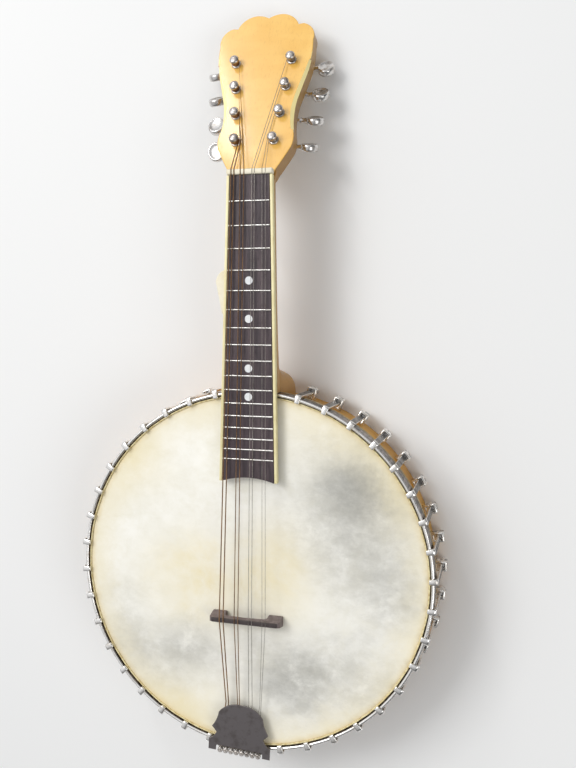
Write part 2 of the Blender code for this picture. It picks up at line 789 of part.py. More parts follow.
def make_tail_bracket():
    """An angle plate over the hoop and down its outside, with a prong for each string's loop."""
    low = HOOP_TOP + CLEAR
    high = low + BRACKET_THICK
    half = BRACKET_WIDTH / 2
    leg = BRACKET_LEG / 2
    corner = BRACKET_CORNER
    leg_top = low + BRACKET_THICK / 2
    top = plate(
        "tail_bracket",
        outline(
            (-half + BRACKET_TRIM, -LEG_OUTSIDE),
            (half - BRACKET_TRIM, -LEG_OUTSIDE),
            (half, -LEG_OUTSIDE + BRACKET_TRIM),
            (half, -BRACKET_FRONT - corner),
            ((half - corner * 0.3, -BRACKET_FRONT - corner * 0.3), (half - corner, -BRACKET_FRONT), 3),
            (-half + corner, -BRACKET_FRONT),
            ((-half + corner * 0.3, -BRACKET_FRONT - corner * 0.3), (-half, -BRACKET_FRONT - corner), 3),
            (-half, -LEG_OUTSIDE + BRACKET_TRIM),
        ),
        low,
        high,
    )
    top.parent = TAIL_FRAME
    drop = plate(
        "bracket_leg",
        outline(
            (-leg, leg_top),
            (-leg, BRACKET_BASE + leg / 2),
            (-leg / 2, BRACKET_BASE),
            (leg / 2, BRACKET_BASE),
            (leg, BRACKET_BASE + leg / 2),
            (leg, leg_top),
        ),
        -BRACKET_THICK / 2,
        BRACKET_THICK / 2,
        CUTTERS,
    )
    drop.data.transform(Matrix.Rotation(math.pi / 2, 4, "X"))
    drop.data.transform(Matrix.Translation((0.0, -(LEG_INSIDE + LEG_OUTSIDE) / 2, 0.0)))
    drop.parent = TAIL_FRAME
    join(top, drop)
    form = bmesh.new()
    for k in range(len(STRING_RADII)):
        here = prong_across(k)
        rod_into(form, PRONG_RADIUS, (here, -PRONG_PLACE, leg_top), (here, -PRONG_PLACE, high + PRONG_RISE), 6)
    prongs = object_of("prongs", mesh_of("prongs", form), CUTTERS)
    prongs.parent = TAIL_FRAME
    join(top, prongs)
    way = rod(
        "leg_hole",
        BOLT_RADIUS + CLEAR,
        (0.0, -LEG_INSIDE + PAST, DOWEL_MIDDLE),
        (0.0, -LEG_OUTSIDE - PAST, DOWEL_MIDDLE),
        12,
        CUTTERS,
    )
    way.parent = TAIL_FRAME
    cut(top, way)
    return paint(finished(top), NICKEL)


def make_tail_cover():
    """Pressed cover: a domed front, flared tips and side notches, and a recess at the back that bares the prongs."""
    low = HOOP_TOP + CLEAR + BRACKET_THICK + COVER_LIFT
    half = COVER_HALF
    front = -COVER_FRONT
    back = -COVER_BACK
    long = COVER_BACK - COVER_FRONT
    right = outline(
        (0.0, front),
        ((half * 0.42, front - long * 0.047), (half * 0.72, front - long * 0.208), 4),
        ((half * 0.80, front - long * 0.390), (half * 0.92, front - long * 0.519), 4),
        (half * 0.76, front - long * 0.623),
        ((half * 0.84, front - long * 0.706), (half, front - long * 0.779), 3),
        (half, back),
        (half - COVER_EAR, back),
        (half - COVER_EAR, back + COVER_RECESS),
    )
    left = [(-x, y) for x, y in reversed(right) if x > 0.0]
    cover = plate("tail_cover", right + left, low, low + COVER_THICK)
    cover.parent = TAIL_FRAME
    feet = bmesh.new()
    foot_low = HOOP_TOP + CLEAR + BRACKET_THICK + CLEAR
    foot_out = BRACKET_WIDTH / 2 - CLEAR
    foot_back = back + COVER_RECESS + CLEAR
    for side in (1, -1):
        across = sorted((side * foot_out, side * (foot_out - COVER_FOOT)))
        box_into(
            feet,
            (across[0], foot_back, foot_low),
            (across[1], foot_back + COVER_FOOT_LENGTH, low + COVER_THICK / 2),
        )
    feet = object_of("cover_feet", mesh_of("cover_feet", feet), CUTTERS)
    feet.parent = TAIL_FRAME
    join(cover, feet)
    return paint(finished(cover), DARK_NICKEL)


def board_half(run):
    """Half the neck's width at a distance from the nut towards the pot."""
    return BOARD_HALF_AT_NUT + (BOARD_HALF_AT_END - BOARD_HALF_AT_NUT) * run / BOARD_LENGTH


def fret_run(number):
    """Distance of a fret from the nut: each one shortens the string by the twelfth root of two."""
    return SCALE_LENGTH * (1.0 - 2.0 ** (-number / 12.0))


def fret_numbers():
    """The frets, or as many of them as the board has room for."""
    last = BOARD_LENGTH - BOARD_HOLLOW - FRET_WIDTH
    return [number for number in range(1, FRETS + 1) if fret_run(number) < last]


def make_fingerboard():
    inset = BINDING + CLEAR
    near = board_half(0.0) - inset
    far = board_half(BOARD_LENGTH) - inset
    end = -BOARD_LENGTH
    board = plate(
        "fingerboard",
        outline(
            (near, 0.0),
            (-near, 0.0),
            (-far, end),
            ((0.0, end + BOARD_HOLLOW), (far, end), 8),
        ),
        BOARD_UNDER,
        BOARD_TOP,
    )
    board.location = (0.0, NUT_Y, 0.0)
    form = bmesh.new()
    for number in fret_numbers():
        run = fret_run(number)
        half = board_half(run) - inset - CLEAR
        box_into(
            form,
            (-half, -run - FRET_WIDTH / 2, BOARD_TOP - SUNK),
            (half, -run + FRET_WIDTH / 2, FRET_TOP),
        )
    frets = object_of("frets", mesh_of("frets", form), CUTTERS)
    frets.location = board.location
    join(board, frets)
    form = bmesh.new()
    for run in dot_runs():
        rod_into(
            form,
            DOT_RADIUS + CLEAR,
            (0.0, -run, BOARD_TOP - DOT_DEPTH - CLEAR),
            (0.0, -run, BOARD_TOP + PAST),
            12,
        )
    pockets = object_of("dot_pockets", mesh_of("dot_pockets", form), CUTTERS)
    pockets.location = board.location
    cut(board, pockets)
    return paint(finished(board), ROSEWOOD)


def dot_runs():
    """A dot lies midway between its fret and the one before."""
    return [(fret_run(number) + fret_run(number - 1)) / 2 for number in DOT_FRETS]


def make_dots():
    for number, run in zip(DOT_FRETS, dot_runs()):
        dot = rod(
            f"dot_{number}",
            DOT_RADIUS,
            (0.0, 0.0, -DOT_DEPTH),
            (0.0, 0.0, 0.0),
            12,
        )
        dot.location = (0.0, NUT_Y - run, BOARD_TOP)
        paint(dot, PEARL)


def make_bindings():
    end = -BOARD_LENGTH
    for name, side in (("binding_bass", -1), ("binding_treble", 1)):
        near = board_half(0.0)
        far = board_half(BOARD_LENGTH)
        points = [
            (side * (near - BINDING), 0.0),
            (side * near, 0.0),
            (side * far, end),
            (side * (far - BINDING), end),
        ]
        strip = plate(name, points, BOARD_UNDER, BOARD_TOP)
        strip.location = (0.0, NUT_Y, 0.0)
        paint(strip, CELLULOID)


def make_nut():
    half = board_half(0.0)
    nut = box(
        "nut",
        (-half, CLEAR, BOARD_UNDER),
        (half, NUT_LENGTH, BOARD_TOP + NUT_RISE),
    )
    nut.location = (0.0, NUT_Y, 0.0)
    bevel = nut.modifiers.new("Edges", "BEVEL")
    bevel.width = NUT_EDGE
    bevel.segments = 1
    return paint(nut, CELLULOID)


def half_round(half, depth, squareness, steps=8):
    """Points across the underside of a neck section, from one top corner to the other."""
    points = []
    for i in range(steps + 1):
        angle = math.pi * i / steps
        across = math.copysign(abs(math.cos(angle)) ** (2 / squareness), math.cos(angle))
        points.append((half * across, -depth * math.sin(angle) ** (2 / squareness)))
    points[0] = (half, 0.0)
    points[-1] = (-half, 0.0)
    return points


def head_point(x, along, lift):
    """A point from places on the headstock's face: across, along it from the nut, and above it."""
    return Vector(
        (
            x,
            along * math.cos(HEAD_TILT) + lift * math.sin(HEAD_TILT),
            -along * math.sin(HEAD_TILT) + lift * math.cos(HEAD_TILT) + BOARD_TOP - HEAD_DROP,
        )
    )


def make_neck_shaft():
    """The neck's back, lofted from the rim to the headstock, where it sinks into the headstock's thickness."""
    sections = []
    rim_face = NUT_TO_POT - RIM_RADIUS
    stations = [
        (rim_face + NECK_END_SUNK, NECK_END_DEPTH, 2.6),
        (rim_face - HEEL_DEPTH_PLACE, HEEL_DEPTH, 2.5),
        (rim_face - HEEL_START, NECK_DEPTH + NECK_SWELL, 2.4),
        (rim_face * 0.45, NECK_DEPTH + NECK_SWELL / 4, 2.3),
        (0.0, NECK_DEPTH, 2.5),
    ]
    for run, depth, squareness in stations:
        ring = half_round(board_half(run), depth, squareness)
        sections.append([Vector((x, -run, NECK_TOP + z)) for x, z in ring])
    for along, half, depth, squareness in VOLUTE_SECTIONS:
        ring = half_round(half, depth - VOLUTE_SUNK, squareness)
        sections.append([head_point(x, along, z - VOLUTE_SUNK) for x, z in ring])
    return loft("neck", sections)


def make_heel():
    """The heel, lofted upwards in level sections that sweep forward into the neck's back."""
    face = -(NUT_TO_POT - RIM_RADIUS)
    rise = NECK_TOP - NECK_DEPTH - HEEL_BOTTOM
    stations = [
        (0.00, 0.80, 0.70),
        (0.06, 0.94, 0.88),
        (0.25, 1.00, 1.00),
        (0.50, 0.98, 1.08),
        (0.72, 0.92, 1.32),
        (0.88, 0.86, 1.75),
        (1.00, 0.80, 2.40),
        (1.12, 0.76, 3.10),
    ]
    sections = []
    for share, width, reach in stations:
        ring = half_round(HEEL_HALF * width, HEEL_REACH * reach, 2.8 - 0.8 * share, 10)
        level = HEEL_BOTTOM + rise * share
        points = [Vector((x, face - y, level)) for x, y in ring]
        points.append(Vector((-HEEL_HALF * width, face - HEEL_SUNK, level)))
        points.append(Vector((HEEL_HALF * width, face - HEEL_SUNK, level)))
        sections.append(points)
    return loft("heel", sections, CUTTERS)


def headstock_half():
    """The right half of the headstock's outline: shoulder, bulge, waist, flare, outer lobe, cusp and middle lobe."""
    moves = [row if len(row) == 2 else (row[:2], row[2:], HEAD_ARC_STEPS) for row in HEAD_OUTLINE]
    return outline(*moves)


def make_headstock():
    right = headstock_half()
    left = [(-x, y) for x, y in reversed(right) if x > 0.0]
    head = plate("headstock", right + left, -HEAD_THICK, 0.0, CUTTERS)
    head.parent = HEAD_FRAME
    return head


def chamfer_cutter(side):
    """A slanted wedge along one edge of the headstock's waist, widest at its notch near the nut."""
    sections = []
    for along, inner, outer in CHAMFER_STATIONS:
        slope = CHAMFER_DEPTH / (outer - inner)
        inner_up = inner - SUNK / slope
        outer_down = outer + CHAMFER_DEPTH
        ring = [
            (inner_up, SUNK),
            (outer_down, SUNK),
            (outer_down, -slope * (outer_down - inner)),
        ]
        sections.append([Vector((side * x, along, z)) for x, z in ring])
    wedge = loft(f"waist_chamfer_{'right' if side > 0 else 'left'}", sections, CUTTERS)
    wedge.parent = HEAD_FRAME
    return wedge


def post_places():
    """(name, side, across, along) of each post, from the nut outwards, the treble side first."""
    places = []
    for side, word in ((1, "treble"), (-1, "bass")):
        for k in range(POSTS_A_SIDE):
            run = POST_PITCH * k
            across = POST_HALF + run * math.tan(POST_SPLAY)
            places.append((f"{word}_{k + 1}", side, side * across, POST_ALONG + run))
    return places


def make_neck():
    """Neck, heel and headstock as one piece of wood, cut to fit the rim, the hoop, the nut and the posts."""
    neck = make_neck_shaft()
    neck.location = (0.0, NUT_Y, 0.0)
    heel = make_heel()
    heel.location = (0.0, NUT_Y, 0.0)
    join(neck, heel)
    join(neck, make_headstock())
    seat = box(
        "nut_seat",
        (-FAR_PAST, -FAR_PAST, NECK_TOP),
        (FAR_PAST, NUT_LENGTH + CLEAR, NECK_TOP + PAST * 2),
        CUTTERS,
    )
    seat.location = (0.0, NUT_Y, 0.0)
    cut(neck, seat)
    clearance = turned(
        "pot_clearance",
        [
            (0.0, NECK_TOP + PAST * 2),
            (FLAP_OUTSIDE + NECK_FIT, NECK_TOP + PAST * 2),
            (FLAP_OUTSIDE + NECK_FIT, FOLD_BOTTOM - CLEAR),
            (RIM_RADIUS + CLEAR, FOLD_BOTTOM - CLEAR),
            (RIM_RADIUS + CLEAR, -PAST * 2),
            (0.0, -PAST * 2),
        ],
        CUTTERS,
    )
    cut(neck, clearance)
    for side in (1, -1):
        cut(neck, chamfer_cutter(side))
    form = bmesh.new()
    for _, _, across, along in post_places():
        rod_into(form, POST_RADIUS + BORE_SPARE, (across, along, -HEAD_THICK - PAST), (across, along, PAST), 8)
    holes = object_of("post_holes", mesh_of("post_holes", form), CUTTERS)
    holes.parent = HEAD_FRAME
    cut(neck, holes)
    made = finished(neck)
    smooth(made)
    return paint(made, MAPLE)


def make_pip():
    """A small pale ear on the bass side of the neck: a rounded shoulder and a long taper."""
    start = -PIP_START
    seat = -(board_half(PIP_START + PIP_LENGTH / 2) + CLEAR * 2)
    end = start - PIP_LENGTH
    pip = plate(
        "side_pip",
        outline(
            (seat, start),
            (seat - PIP_REACH * 0.30, start - PIP_LENGTH * 0.05),
            ((seat - PIP_REACH * 0.80, start - PIP_LENGTH * 0.14), (seat - PIP_REACH, start - PIP_LENGTH * 0.27), 4),
            (seat - PIP_REACH * 0.38, start - PIP_LENGTH * 0.89),
            (seat, end),
        ),
        NECK_TOP - PIP_THICK - PIP_DROP,
        NECK_TOP - PIP_DROP,
    )
    pip.location = (0.0, NUT_Y, 0.0)
    return paint(pip, CELLULOID)


def make_bridge():
    """A thin bar on two feet, wider at the feet than at the top, standing on the head."""
    half = BRIDGE_LENGTH / 2
    foot = BRIDGE_FOOT_LENGTH
    bar = BRIDGE_HEIGHT - BRIDGE_BAR
    right = outline(
        (half, 0.0),
        (half, BRIDGE_HEIGHT - BRIDGE_CORNER),
        (half - BRIDGE_CORNER, BRIDGE_HEIGHT),
    )
    under = outline(
        (-half + foot, 0.0),
        (-half + foot, BRIDGE_ARCH_SPRING),
        (-half + foot + BRIDGE_ARCH_RUN, bar - BRIDGE_ARCH_DROP),
        ((0.0, bar), (half - foot - BRIDGE_ARCH_RUN, bar - BRIDGE_ARCH_DROP), 6),
        (half - foot, BRIDGE_ARCH_SPRING),
        (half - foot, 0.0),
    )
    left = [(-x, z) for x, z in reversed(right)]
    bridge = plate("bridge", right + left + under, -BRIDGE_FOOT / 2, BRIDGE_FOOT / 2)
    bridge.data.transform(Matrix.Rotation(math.pi / 2, 4, "X"))
    place = (BRIDGE_SHIFT, NUT_Y - BRIDGE_PLACE, HEAD_TOP + CLEAR)
    bridge.location = place
    deep = BRIDGE_FOOT / 2
    thin = BRIDGE_TOP / 2
    wide = half + PAST
    top = BRIDGE_HEIGHT + SUNK
    right_side = [(deep, -SUNK), (deep, BRIDGE_FOOT_HEIGHT), (thin, top)]
    ring = right_side + [(-y, z) for y, z in reversed(right_side)]
    rings = [[Vector((x, y, z)) for y, z in ring] for x in (-wide, wide)]
    wedge = loft("bridge_wedge", rings, CUTTERS)
    wedge.location = place
    boolean(bridge, wedge, "INTERSECT")
    return paint(finished(bridge), DARK_WOOD)


def make_strings():
    """Each string from its prong, over the bridge and the nut, to the inner side of its post."""
    order = string_posts()
    posts = {name: (side, across, along) for name, side, across, along in post_places()}
    for k, name in enumerate(order):
        radius = STRING_RADII[k]
        side, across, along = posts[name]
        hook_out = PRONG_PLACE - PRONG_RADIUS - CLEAR
        cover_y = POT_Y - COVER_FRONT
        level = HOOP_TOP + CLEAR + BRACKET_THICK + CLEAR + radius
        points = [
            tail_point(prong_across(k), hook_out, level),
            Vector((STRINGS_AT_TAIL[k], cover_y + COVER_THICK, level + SUNK)),
            Vector((STRINGS_AT_BRIDGE[k], NUT_Y - BRIDGE_PLACE, HEAD_TOP + BRIDGE_HEIGHT + CLEAR * 2 + radius)),
            Vector((STRINGS_AT_NUT[k], NUT_Y + NUT_LENGTH, BOARD_TOP + NUT_RISE + CLEAR + radius)),
        ]
        lift = POST_RISE * 0.5
        offset = Vector((0.0, NUT_Y, 0.0))
        if name.endswith("_2"):
            first = posts[name[:-1] + "1"]
            beside = first[1] - side * (POST_CAP + CLEAR * 2 + radius)
            points.append(head_point(beside, first[2], lift) + offset)
        reach = POST_WAIST + CLEAR + radius
        points.append(head_point(across - side * reach, along, lift) + offset)
        paint(wire(f"string_{k + 1}", points, radius), BRONZE if k < 4 else STEEL)


def string_posts():
    """The post of each string from the bass side: the outer pairs go to the lower posts."""
    return ("bass_1", "bass_2", "bass_3", "bass_4", "treble_4", "treble_3", "treble_2", "treble_1")


def tuner_frame(name, side, across, along):
    """An empty on the post's axis at the face: +Y along the row of posts and +Z out of the face."""
    frame = bpy.data.objects.new(name, None)
    PARTS.objects.link(frame)
    frame.parent = HEAD_FRAME
    frame.location = (across, along, 0.0)
    frame.rotation_euler = (0.0, 0.0, -side * POST_SPLAY)
    return frame


def gear_mesh():
    """The worm wheel under the post, with a space between two teeth at +Y."""
    top = GEAR_RADIUS + TOOTH_RISE
    root = GEAR_RADIUS - TOOTH_DROP
    pitch = math.tau / TEETH
    points = []
    for k in range(TEETH):
        middle = math.pi / 2 + pitch * (k + 0.5)
        for turn, radius in ((-0.24, root), (0.0, top), (0.24, root)):
            angle = middle + pitch * turn
            points.append((radius * math.cos(angle), radius * math.sin(angle)))
    low = -WORM_DEPTH - GEAR_THICK / 2
    return plate("gear", points, low, low + GEAR_THICK, CUTTERS)


def make_posts():
    """Capstan posts, each with its worm wheel on the headstock's back. They share one mesh."""
    foot = -WORM_DEPTH
    profile = [
        (0.0, POST_RISE),
        (POST_CAP, POST_RISE - POST_DOME),
        (POST_WAIST, POST_RISE - POST_NECK),
        (POST_WAIST, POST_SHOULDER),
        (POST_RADIUS, POST_SHOULDER - SUNK),
        (POST_RADIUS, foot),
        (0.0, foot),
    ]
    core = turned("post_core", profile, CUTTERS, steps=8, centre=(0.0, 0.0, 0.0))
    join(core, gear_mesh())
    mesh = evaluated_mesh(core)
    mesh.materials.clear()
    mesh.materials.append(NICKEL)
    for name, side, across, along in post_places():
        frame = tuner_frame(f"post_frame_{name}", side, across, along)
        post = object_of(f"post_{name}", mesh)
        post.parent = frame


def make_ferrules():
    """Thin collars on the face round the posts. They share one mesh."""
    inner = POST_RADIUS + RUNNING
    profile = [
        (inner, CLEAR),
        (inner, CLEAR + FERRULE_HEIGHT),
        (FERRULE_RADIUS - FERRULE_SLOPE, CLEAR + FERRULE_HEIGHT),
        (FERRULE_RADIUS, CLEAR),
    ]
    model = turned("ferrule_core", profile, CUTTERS, steps=10, centre=(0.0, 0.0, 0.0))
    mesh = model.data
    helper(model)
    mesh.materials.append(NICKEL)
    for name, side, across, along in post_places():
        ferrule = object_of(f"ferrule_{name}", mesh)
        ferrule.parent = HEAD_FRAME
        ferrule.location = (across, along, 0.0)


def worm_thread(phase):
    """A right-handed single-start thread round the X axis. At the phase angle it crosses the wheel's middle."""
    lead = math.tau * GEAR_RADIUS / TEETH
    per_turn = 6
    count = int(THREAD_TURNS * per_turn)
    outer = WORM_RADIUS + TOOTH_RISE
    inner = WORM_CORE - SUNK
    sections = []
    for i in range(count + 1):
        turn = (i / count - 0.5) * THREAD_TURNS
        angle = phase + math.tau * turn
        x = lead * turn
        sections.append(
            [
                Vector((x - THREAD_HALF * 1.5, inner * math.cos(angle), inner * math.sin(angle))),
                Vector((x, outer * math.cos(angle), outer * math.sin(angle))),
                Vector((x + THREAD_HALF * 1.5, inner * math.cos(angle), inner * math.sin(angle))),
            ]
        )
    return loft("worm_thread", sections, CUTTERS)


def make_keys():
    """Worm shafts with oval knobs. The X axis runs out along the shaft from the post's line."""
    drop = -WORM_DEPTH
    apart = GEAR_RADIUS + WORM_RADIUS
    angles = {1: KNOB_ANGLES_RIGHT, -1: KNOB_ANGLES_LEFT}
    for name, side, across, along in post_places():
        k = int(name[-1]) - 1
        frame = tuner_frame(f"key_frame_{name}", side, across, along)
        key = object_of(f"key_{name}", make_key_mesh(side, angles[side][k], f"key_{name}"))
        key.parent = frame
        key.location = (0.0, apart, drop)
        key.rotation_euler = (0.0, 0.0, 0.0 if side > 0 else math.pi)


def make_key_mesh(side, knob_angle, name):
    """The wheel lies at -Y of a treble worm and at +Y of a bass one, which is turned half round."""
    inner_end = -(LUG_PLACE + LUG_THICK + SHAFT_END)
    outer_end = KNOB_START + SHAFT_END
    shaft = rod(name + "_shaft", WORM_CORE, (inner_end, 0.0, 0.0), (outer_end, 0.0, 0.0), 6, CUTTERS)
    join(shaft, worm_thread(math.pi if side > 0 else 0.0))
    dish = [(0.0, KNOB_WEB), (0.62, KNOB_WEB), (0.84, 1.0), (1.0, 0.5)]
    knob = turned(
        name + "_knob",
        dish + [(radius, -height) for radius, height in reversed(dish)],
        CUTTERS,
        steps=12,
        centre=(0.0, 0.0, 0.0),
    )
    shape = Matrix.Diagonal((KNOB_LENGTH / 2, KNOB_WIDTH / 2, KNOB_THICK / 2, 1.0))
    place = Matrix.Translation((KNOB_START + KNOB_LENGTH / 2, 0.0, 0.0))
    knob.data.transform(place @ Matrix.Rotation(math.radians(knob_angle), 4, "X") @ shape)
    join(shaft, knob)
    mesh = evaluated_mesh(shaft)
    mesh.materials.clear()
    mesh.materials.append(NICKEL)
    return mesh


def make_tuner_plates():
    """A plate on the headstock's back under each row of posts, with two bearing lugs for each worm."""
    apart = GEAR_RADIUS + WORM_RADIUS
    length = POST_PITCH * (POSTS_A_SIDE - 1) / math.cos(POST_SPLAY)
    high = -HEAD_THICK - CLEAR
    low = high - PLATE_THICK
    half = PLATE_WIDTH / 2
    for name, side in (("tuner_plate_treble", 1), ("tuner_plate_bass", -1)):
        frame = tuner_frame(name + "_frame", side, side * POST_HALF, POST_ALONG)
        start = -PLATE_START
        end = length + PLATE_END
        corner = PLATE_CORNER
        strip = plate(
            name,
            outline(
                (-half, start + corner),
                ((-half + corner * 0.3, start + corner * 0.3), (-half + corner, start), 2),
                (half - corner, start),
                ((half - corner * 0.3, start + corner * 0.3), (half, start + corner), 2),
                (half, end - corner),
                ((half - corner * 0.3, end - corner * 0.3), (half - corner, end), 2),
                (-half + corner, end),
                ((-half + corner * 0.3, end - corner * 0.3), (-half, end - corner), 2),
            ),
            low,
            high,
        )
        strip.parent = frame
        lugs = bmesh.new()
        ways = bmesh.new()
        bores = bmesh.new()
        for k in range(POSTS_A_SIDE):
            here = k * POST_PITCH / math.cos(POST_SPLAY)
            rod_into(bores, POST_RADIUS + BORE_SPARE, (0.0, here, high + PAST / 2), (0.0, here, low - PLATE_THICK), 8)
            there = here + apart
            for end_side in (-1, 1):
                x = end_side * (LUG_PLACE + LUG_THICK / 2)
                box_into(
                    lugs,
                    (x - LUG_THICK / 2, there - LUG_HALF, -WORM_DEPTH - WORM_CORE - LUG_DROP),
                    (x + LUG_THICK / 2, there + LUG_HALF, high - PLATE_THICK / 2),
                )
            reach = LUG_PLACE + LUG_THICK * 2
            rod_into(ways, WORM_CORE + BORE_SPARE, (-reach, there, -WORM_DEPTH), (reach, there, -WORM_DEPTH), 6)
        for made, words in ((lugs, "lugs"), (ways, "lug_ways"), (bores, "plate_bores")):
            other = object_of(f"{name}_{words}", mesh_of(words, made), CUTTERS)
            other.parent = frame
            boolean(strip, other, "UNION" if words == "lugs" else "DIFFERENCE")
        paint(finished(strip), NICKEL)


clear_scene()
PARTS = new_collection("banjo mandolin")
CUTTERS = new_collection("cutters")

MAPLE = material("maple", (0.42, 0.20, 0.07), 0.32)
RIM_WOOD = material("rim wood", (0.36, 0.18, 0.08), 0.38)
ROSEWOOD = material("rosewood", (0.075, 0.035, 0.022), 0.45)
DARK_WOOD = material("dark wood", (0.09, 0.045, 0.028), 0.5)
CALFSKIN = material("calfskin", (0.82, 0.78, 0.68), 0.55)
CELLULOID = material("celluloid", (0.80, 0.74, 0.60), 0.35)
PEARL = material("pearl", (0.85, 0.84, 0.80), 0.25)
NICKEL = material("nickel", (0.66, 0.64, 0.60), 0.28, 1.0)
DARK_NICKEL = material("dark nickel", (0.28, 0.27, 0.25), 0.42, 1.0)
STEEL = material("steel", (0.62, 0.62, 0.62), 0.3, 1.0)
BRONZE = material("bronze", (0.45, 0.27, 0.13), 0.38, 1.0)

TAIL_FRAME = bpy.data.objects.new("tail_frame", None)
TAIL_FRAME.location = POT
TAIL_FRAME.rotation_euler = (0.0, 0.0, -TAIL_TURN)
PARTS.objects.link(TAIL_FRAME)
HEAD_FRAME = bpy.data.objects.new("head_frame", None)
HEAD_FRAME.location = (0.0, NUT_Y, BOARD_TOP - HEAD_DROP)
HEAD_FRAME.rotation_euler = (-HEAD_TILT, 0.0, 0.0)
PARTS.objects.link(HEAD_FRAME)

for ring in (make_rim, make_tone_ring, make_head, make_flesh_hoop, make_tension_hoop):
    smooth(ring())
make_dowel_stick()
make_neck_brace()
make_tail_bolt()
make_tail_bracket()
make_tail_cover()
make_neck()
make_pip()
make_fingerboard()
make_dots()
make_bindings()
make_nut()
make_bridge()
make_posts()
make_ferrules()
make_keys()
make_tuner_plates()
make_strings()

for obj in CUTTERS.objects:
    helper(obj)
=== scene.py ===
# %% [markdown]
# # A banjo mandolin
# The instrument lies on its back. Its solid model is loaded first and never moved. Every piece that shows
# is then made finer here, in the same place, and rides on the body that carries it.

# %% Load the solid model
from math import atan2, copysign, cos, hypot, pi, radians, sin, tan, tau
import bmesh
import bpy
from mathutils import Matrix, Quaternion, Vector, noise


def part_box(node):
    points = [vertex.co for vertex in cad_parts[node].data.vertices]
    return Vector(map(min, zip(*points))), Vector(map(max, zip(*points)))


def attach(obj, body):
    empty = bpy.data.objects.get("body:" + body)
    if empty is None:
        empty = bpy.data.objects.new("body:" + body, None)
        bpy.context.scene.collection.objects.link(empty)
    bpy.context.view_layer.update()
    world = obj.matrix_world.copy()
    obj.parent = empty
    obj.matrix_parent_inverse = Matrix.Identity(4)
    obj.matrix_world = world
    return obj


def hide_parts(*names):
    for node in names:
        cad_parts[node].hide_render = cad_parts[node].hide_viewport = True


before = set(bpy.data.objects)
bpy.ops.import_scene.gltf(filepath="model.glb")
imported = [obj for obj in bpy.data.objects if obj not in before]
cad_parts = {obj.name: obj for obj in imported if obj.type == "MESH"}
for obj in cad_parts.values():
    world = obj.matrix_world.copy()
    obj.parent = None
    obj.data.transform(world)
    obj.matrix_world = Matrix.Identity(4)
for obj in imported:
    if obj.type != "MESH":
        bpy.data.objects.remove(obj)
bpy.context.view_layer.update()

# %% [markdown]
# ## Sizes
# The sizes repeat those of the solid model, in metres. The pot's pieces are measured from its axis, the
# neck's from the front edge of the nut, and the headstock's along its tilted face. Between pieces that
# touch there is a small clear gap, as in the solid model. The ring of hooks and the tailpiece are turned a
# little from the neck's line, as in the photograph.

# %% Sizes of the pot
mm = 0.001
clear = 0.3 * mm
rim_radius, rim_wall, rim_height = 133.0 * mm, 9.0 * mm, 50.0 * mm
rim_inside = rim_radius - rim_wall
tone_rod, skin = 5.5 * mm, 0.5 * mm
head_top = rim_height + tone_rod + skin + 2 * clear
hoop_top = head_top + 2.4 * mm
hoop_bottom = hoop_top - 10.4 * mm
hoop_inside = rim_radius + 1.2 * mm
hoop_outside = hoop_inside + 3.0 * mm
flap_outside = rim_radius + 4.4 * mm
shank_inside, shank_thick = flap_outside + 0.7 * mm, 1.8 * mm
shank_outside = shank_inside + shank_thick
shank_middle = shank_inside + shank_thick / 2
hook_width, claw_top = 4.6 * mm, hoop_top + 1.6 * mm
shoe_base, shoe_height, shoe_width = 11.0 * mm, 8.0 * mm, 7.8 * mm
shoe_top, shoe_sheet = shoe_base + shoe_height, 1.4 * mm
shoe_outside = shank_middle + 3.8 * mm
nut_height = 6.2 * mm
ring_turn = radians(1.64)
neck_gap, tail_gap, hook_count = radians(27.0), radians(24.0), 36

# %% Sizes of the neck and the headstock
board_top = hoop_top + 6.0 * mm
board_under = hoop_top + 1.5 * mm
neck_top = board_under - clear
board_length, board_hollow = 223.3 * mm, 3.3 * mm
half_at_nut, half_at_end = 17.3 * mm, 22.4 * mm
binding = 2.1 * mm
scale_length = 330.0 * mm
nut_length, nut_rise = 4.3 * mm, 1.2 * mm
nut_to_pot = 293.2 * mm
head_tilt = radians(19.07)
head_drop, head_thick = 3.5 * mm, 12.0 * mm
nut_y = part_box("fingerboard")[1][1]
pot = Vector((0.0, nut_y - nut_to_pot, 0.0))
on_pot = Matrix.Translation(pot)
on_nut = Matrix.Translation((0.0, nut_y, 0.0))
on_head = Matrix.Translation((0.0, nut_y, board_top - head_drop)) @ Matrix.Rotation(-head_tilt, 4, "X")
tail_turn = radians(2.8)
on_tail = on_pot @ Matrix.Rotation(-tail_turn, 4, "Z")
print("nut at y", round(nut_y, 4), "pot at y", round(pot.y, 4))

# %% [markdown]
# ## The camera
# The photograph was taken from above the head, a little to the treble side, with a short lens. A
# constraint that aims the camera at a point would leave out its small roll. So its turn is one rotation
# about one axis, found by matching the frets, the hooks and the tuners.

# %% Camera
def linked(name, data):
    """A new object in the scene."""
    obj = bpy.data.objects.new(name, data)
    bpy.context.scene.collection.objects.link(obj)
    return obj


picture_height, lens_pixels = 768, 804.13
turn = Vector((0.072, -0.264, -0.018))
camera_data = bpy.data.cameras.new("camera")
camera_data.lens = lens_pixels / picture_height * camera_data.sensor_width
camera_data.clip_start = 0.01
camera = linked("camera", camera_data)
camera.rotation_mode = "QUATERNION"
camera.rotation_quaternion = Quaternion(turn.normalized(), -turn.length)
camera.location = (180.9 * mm, nut_y - 107.2 * mm, board_top + 558.4 * mm)
bpy.context.scene.camera = camera
print("lens", round(camera_data.lens, 2))

# %% [markdown]
# ## Shader maths
# A pattern could be wired node by node, but a few noises and steps would soon fill a page. Here a small
# class wraps one socket, so that a pattern reads as an ordinary sum. Another holds a material and adds
# any node by its type.

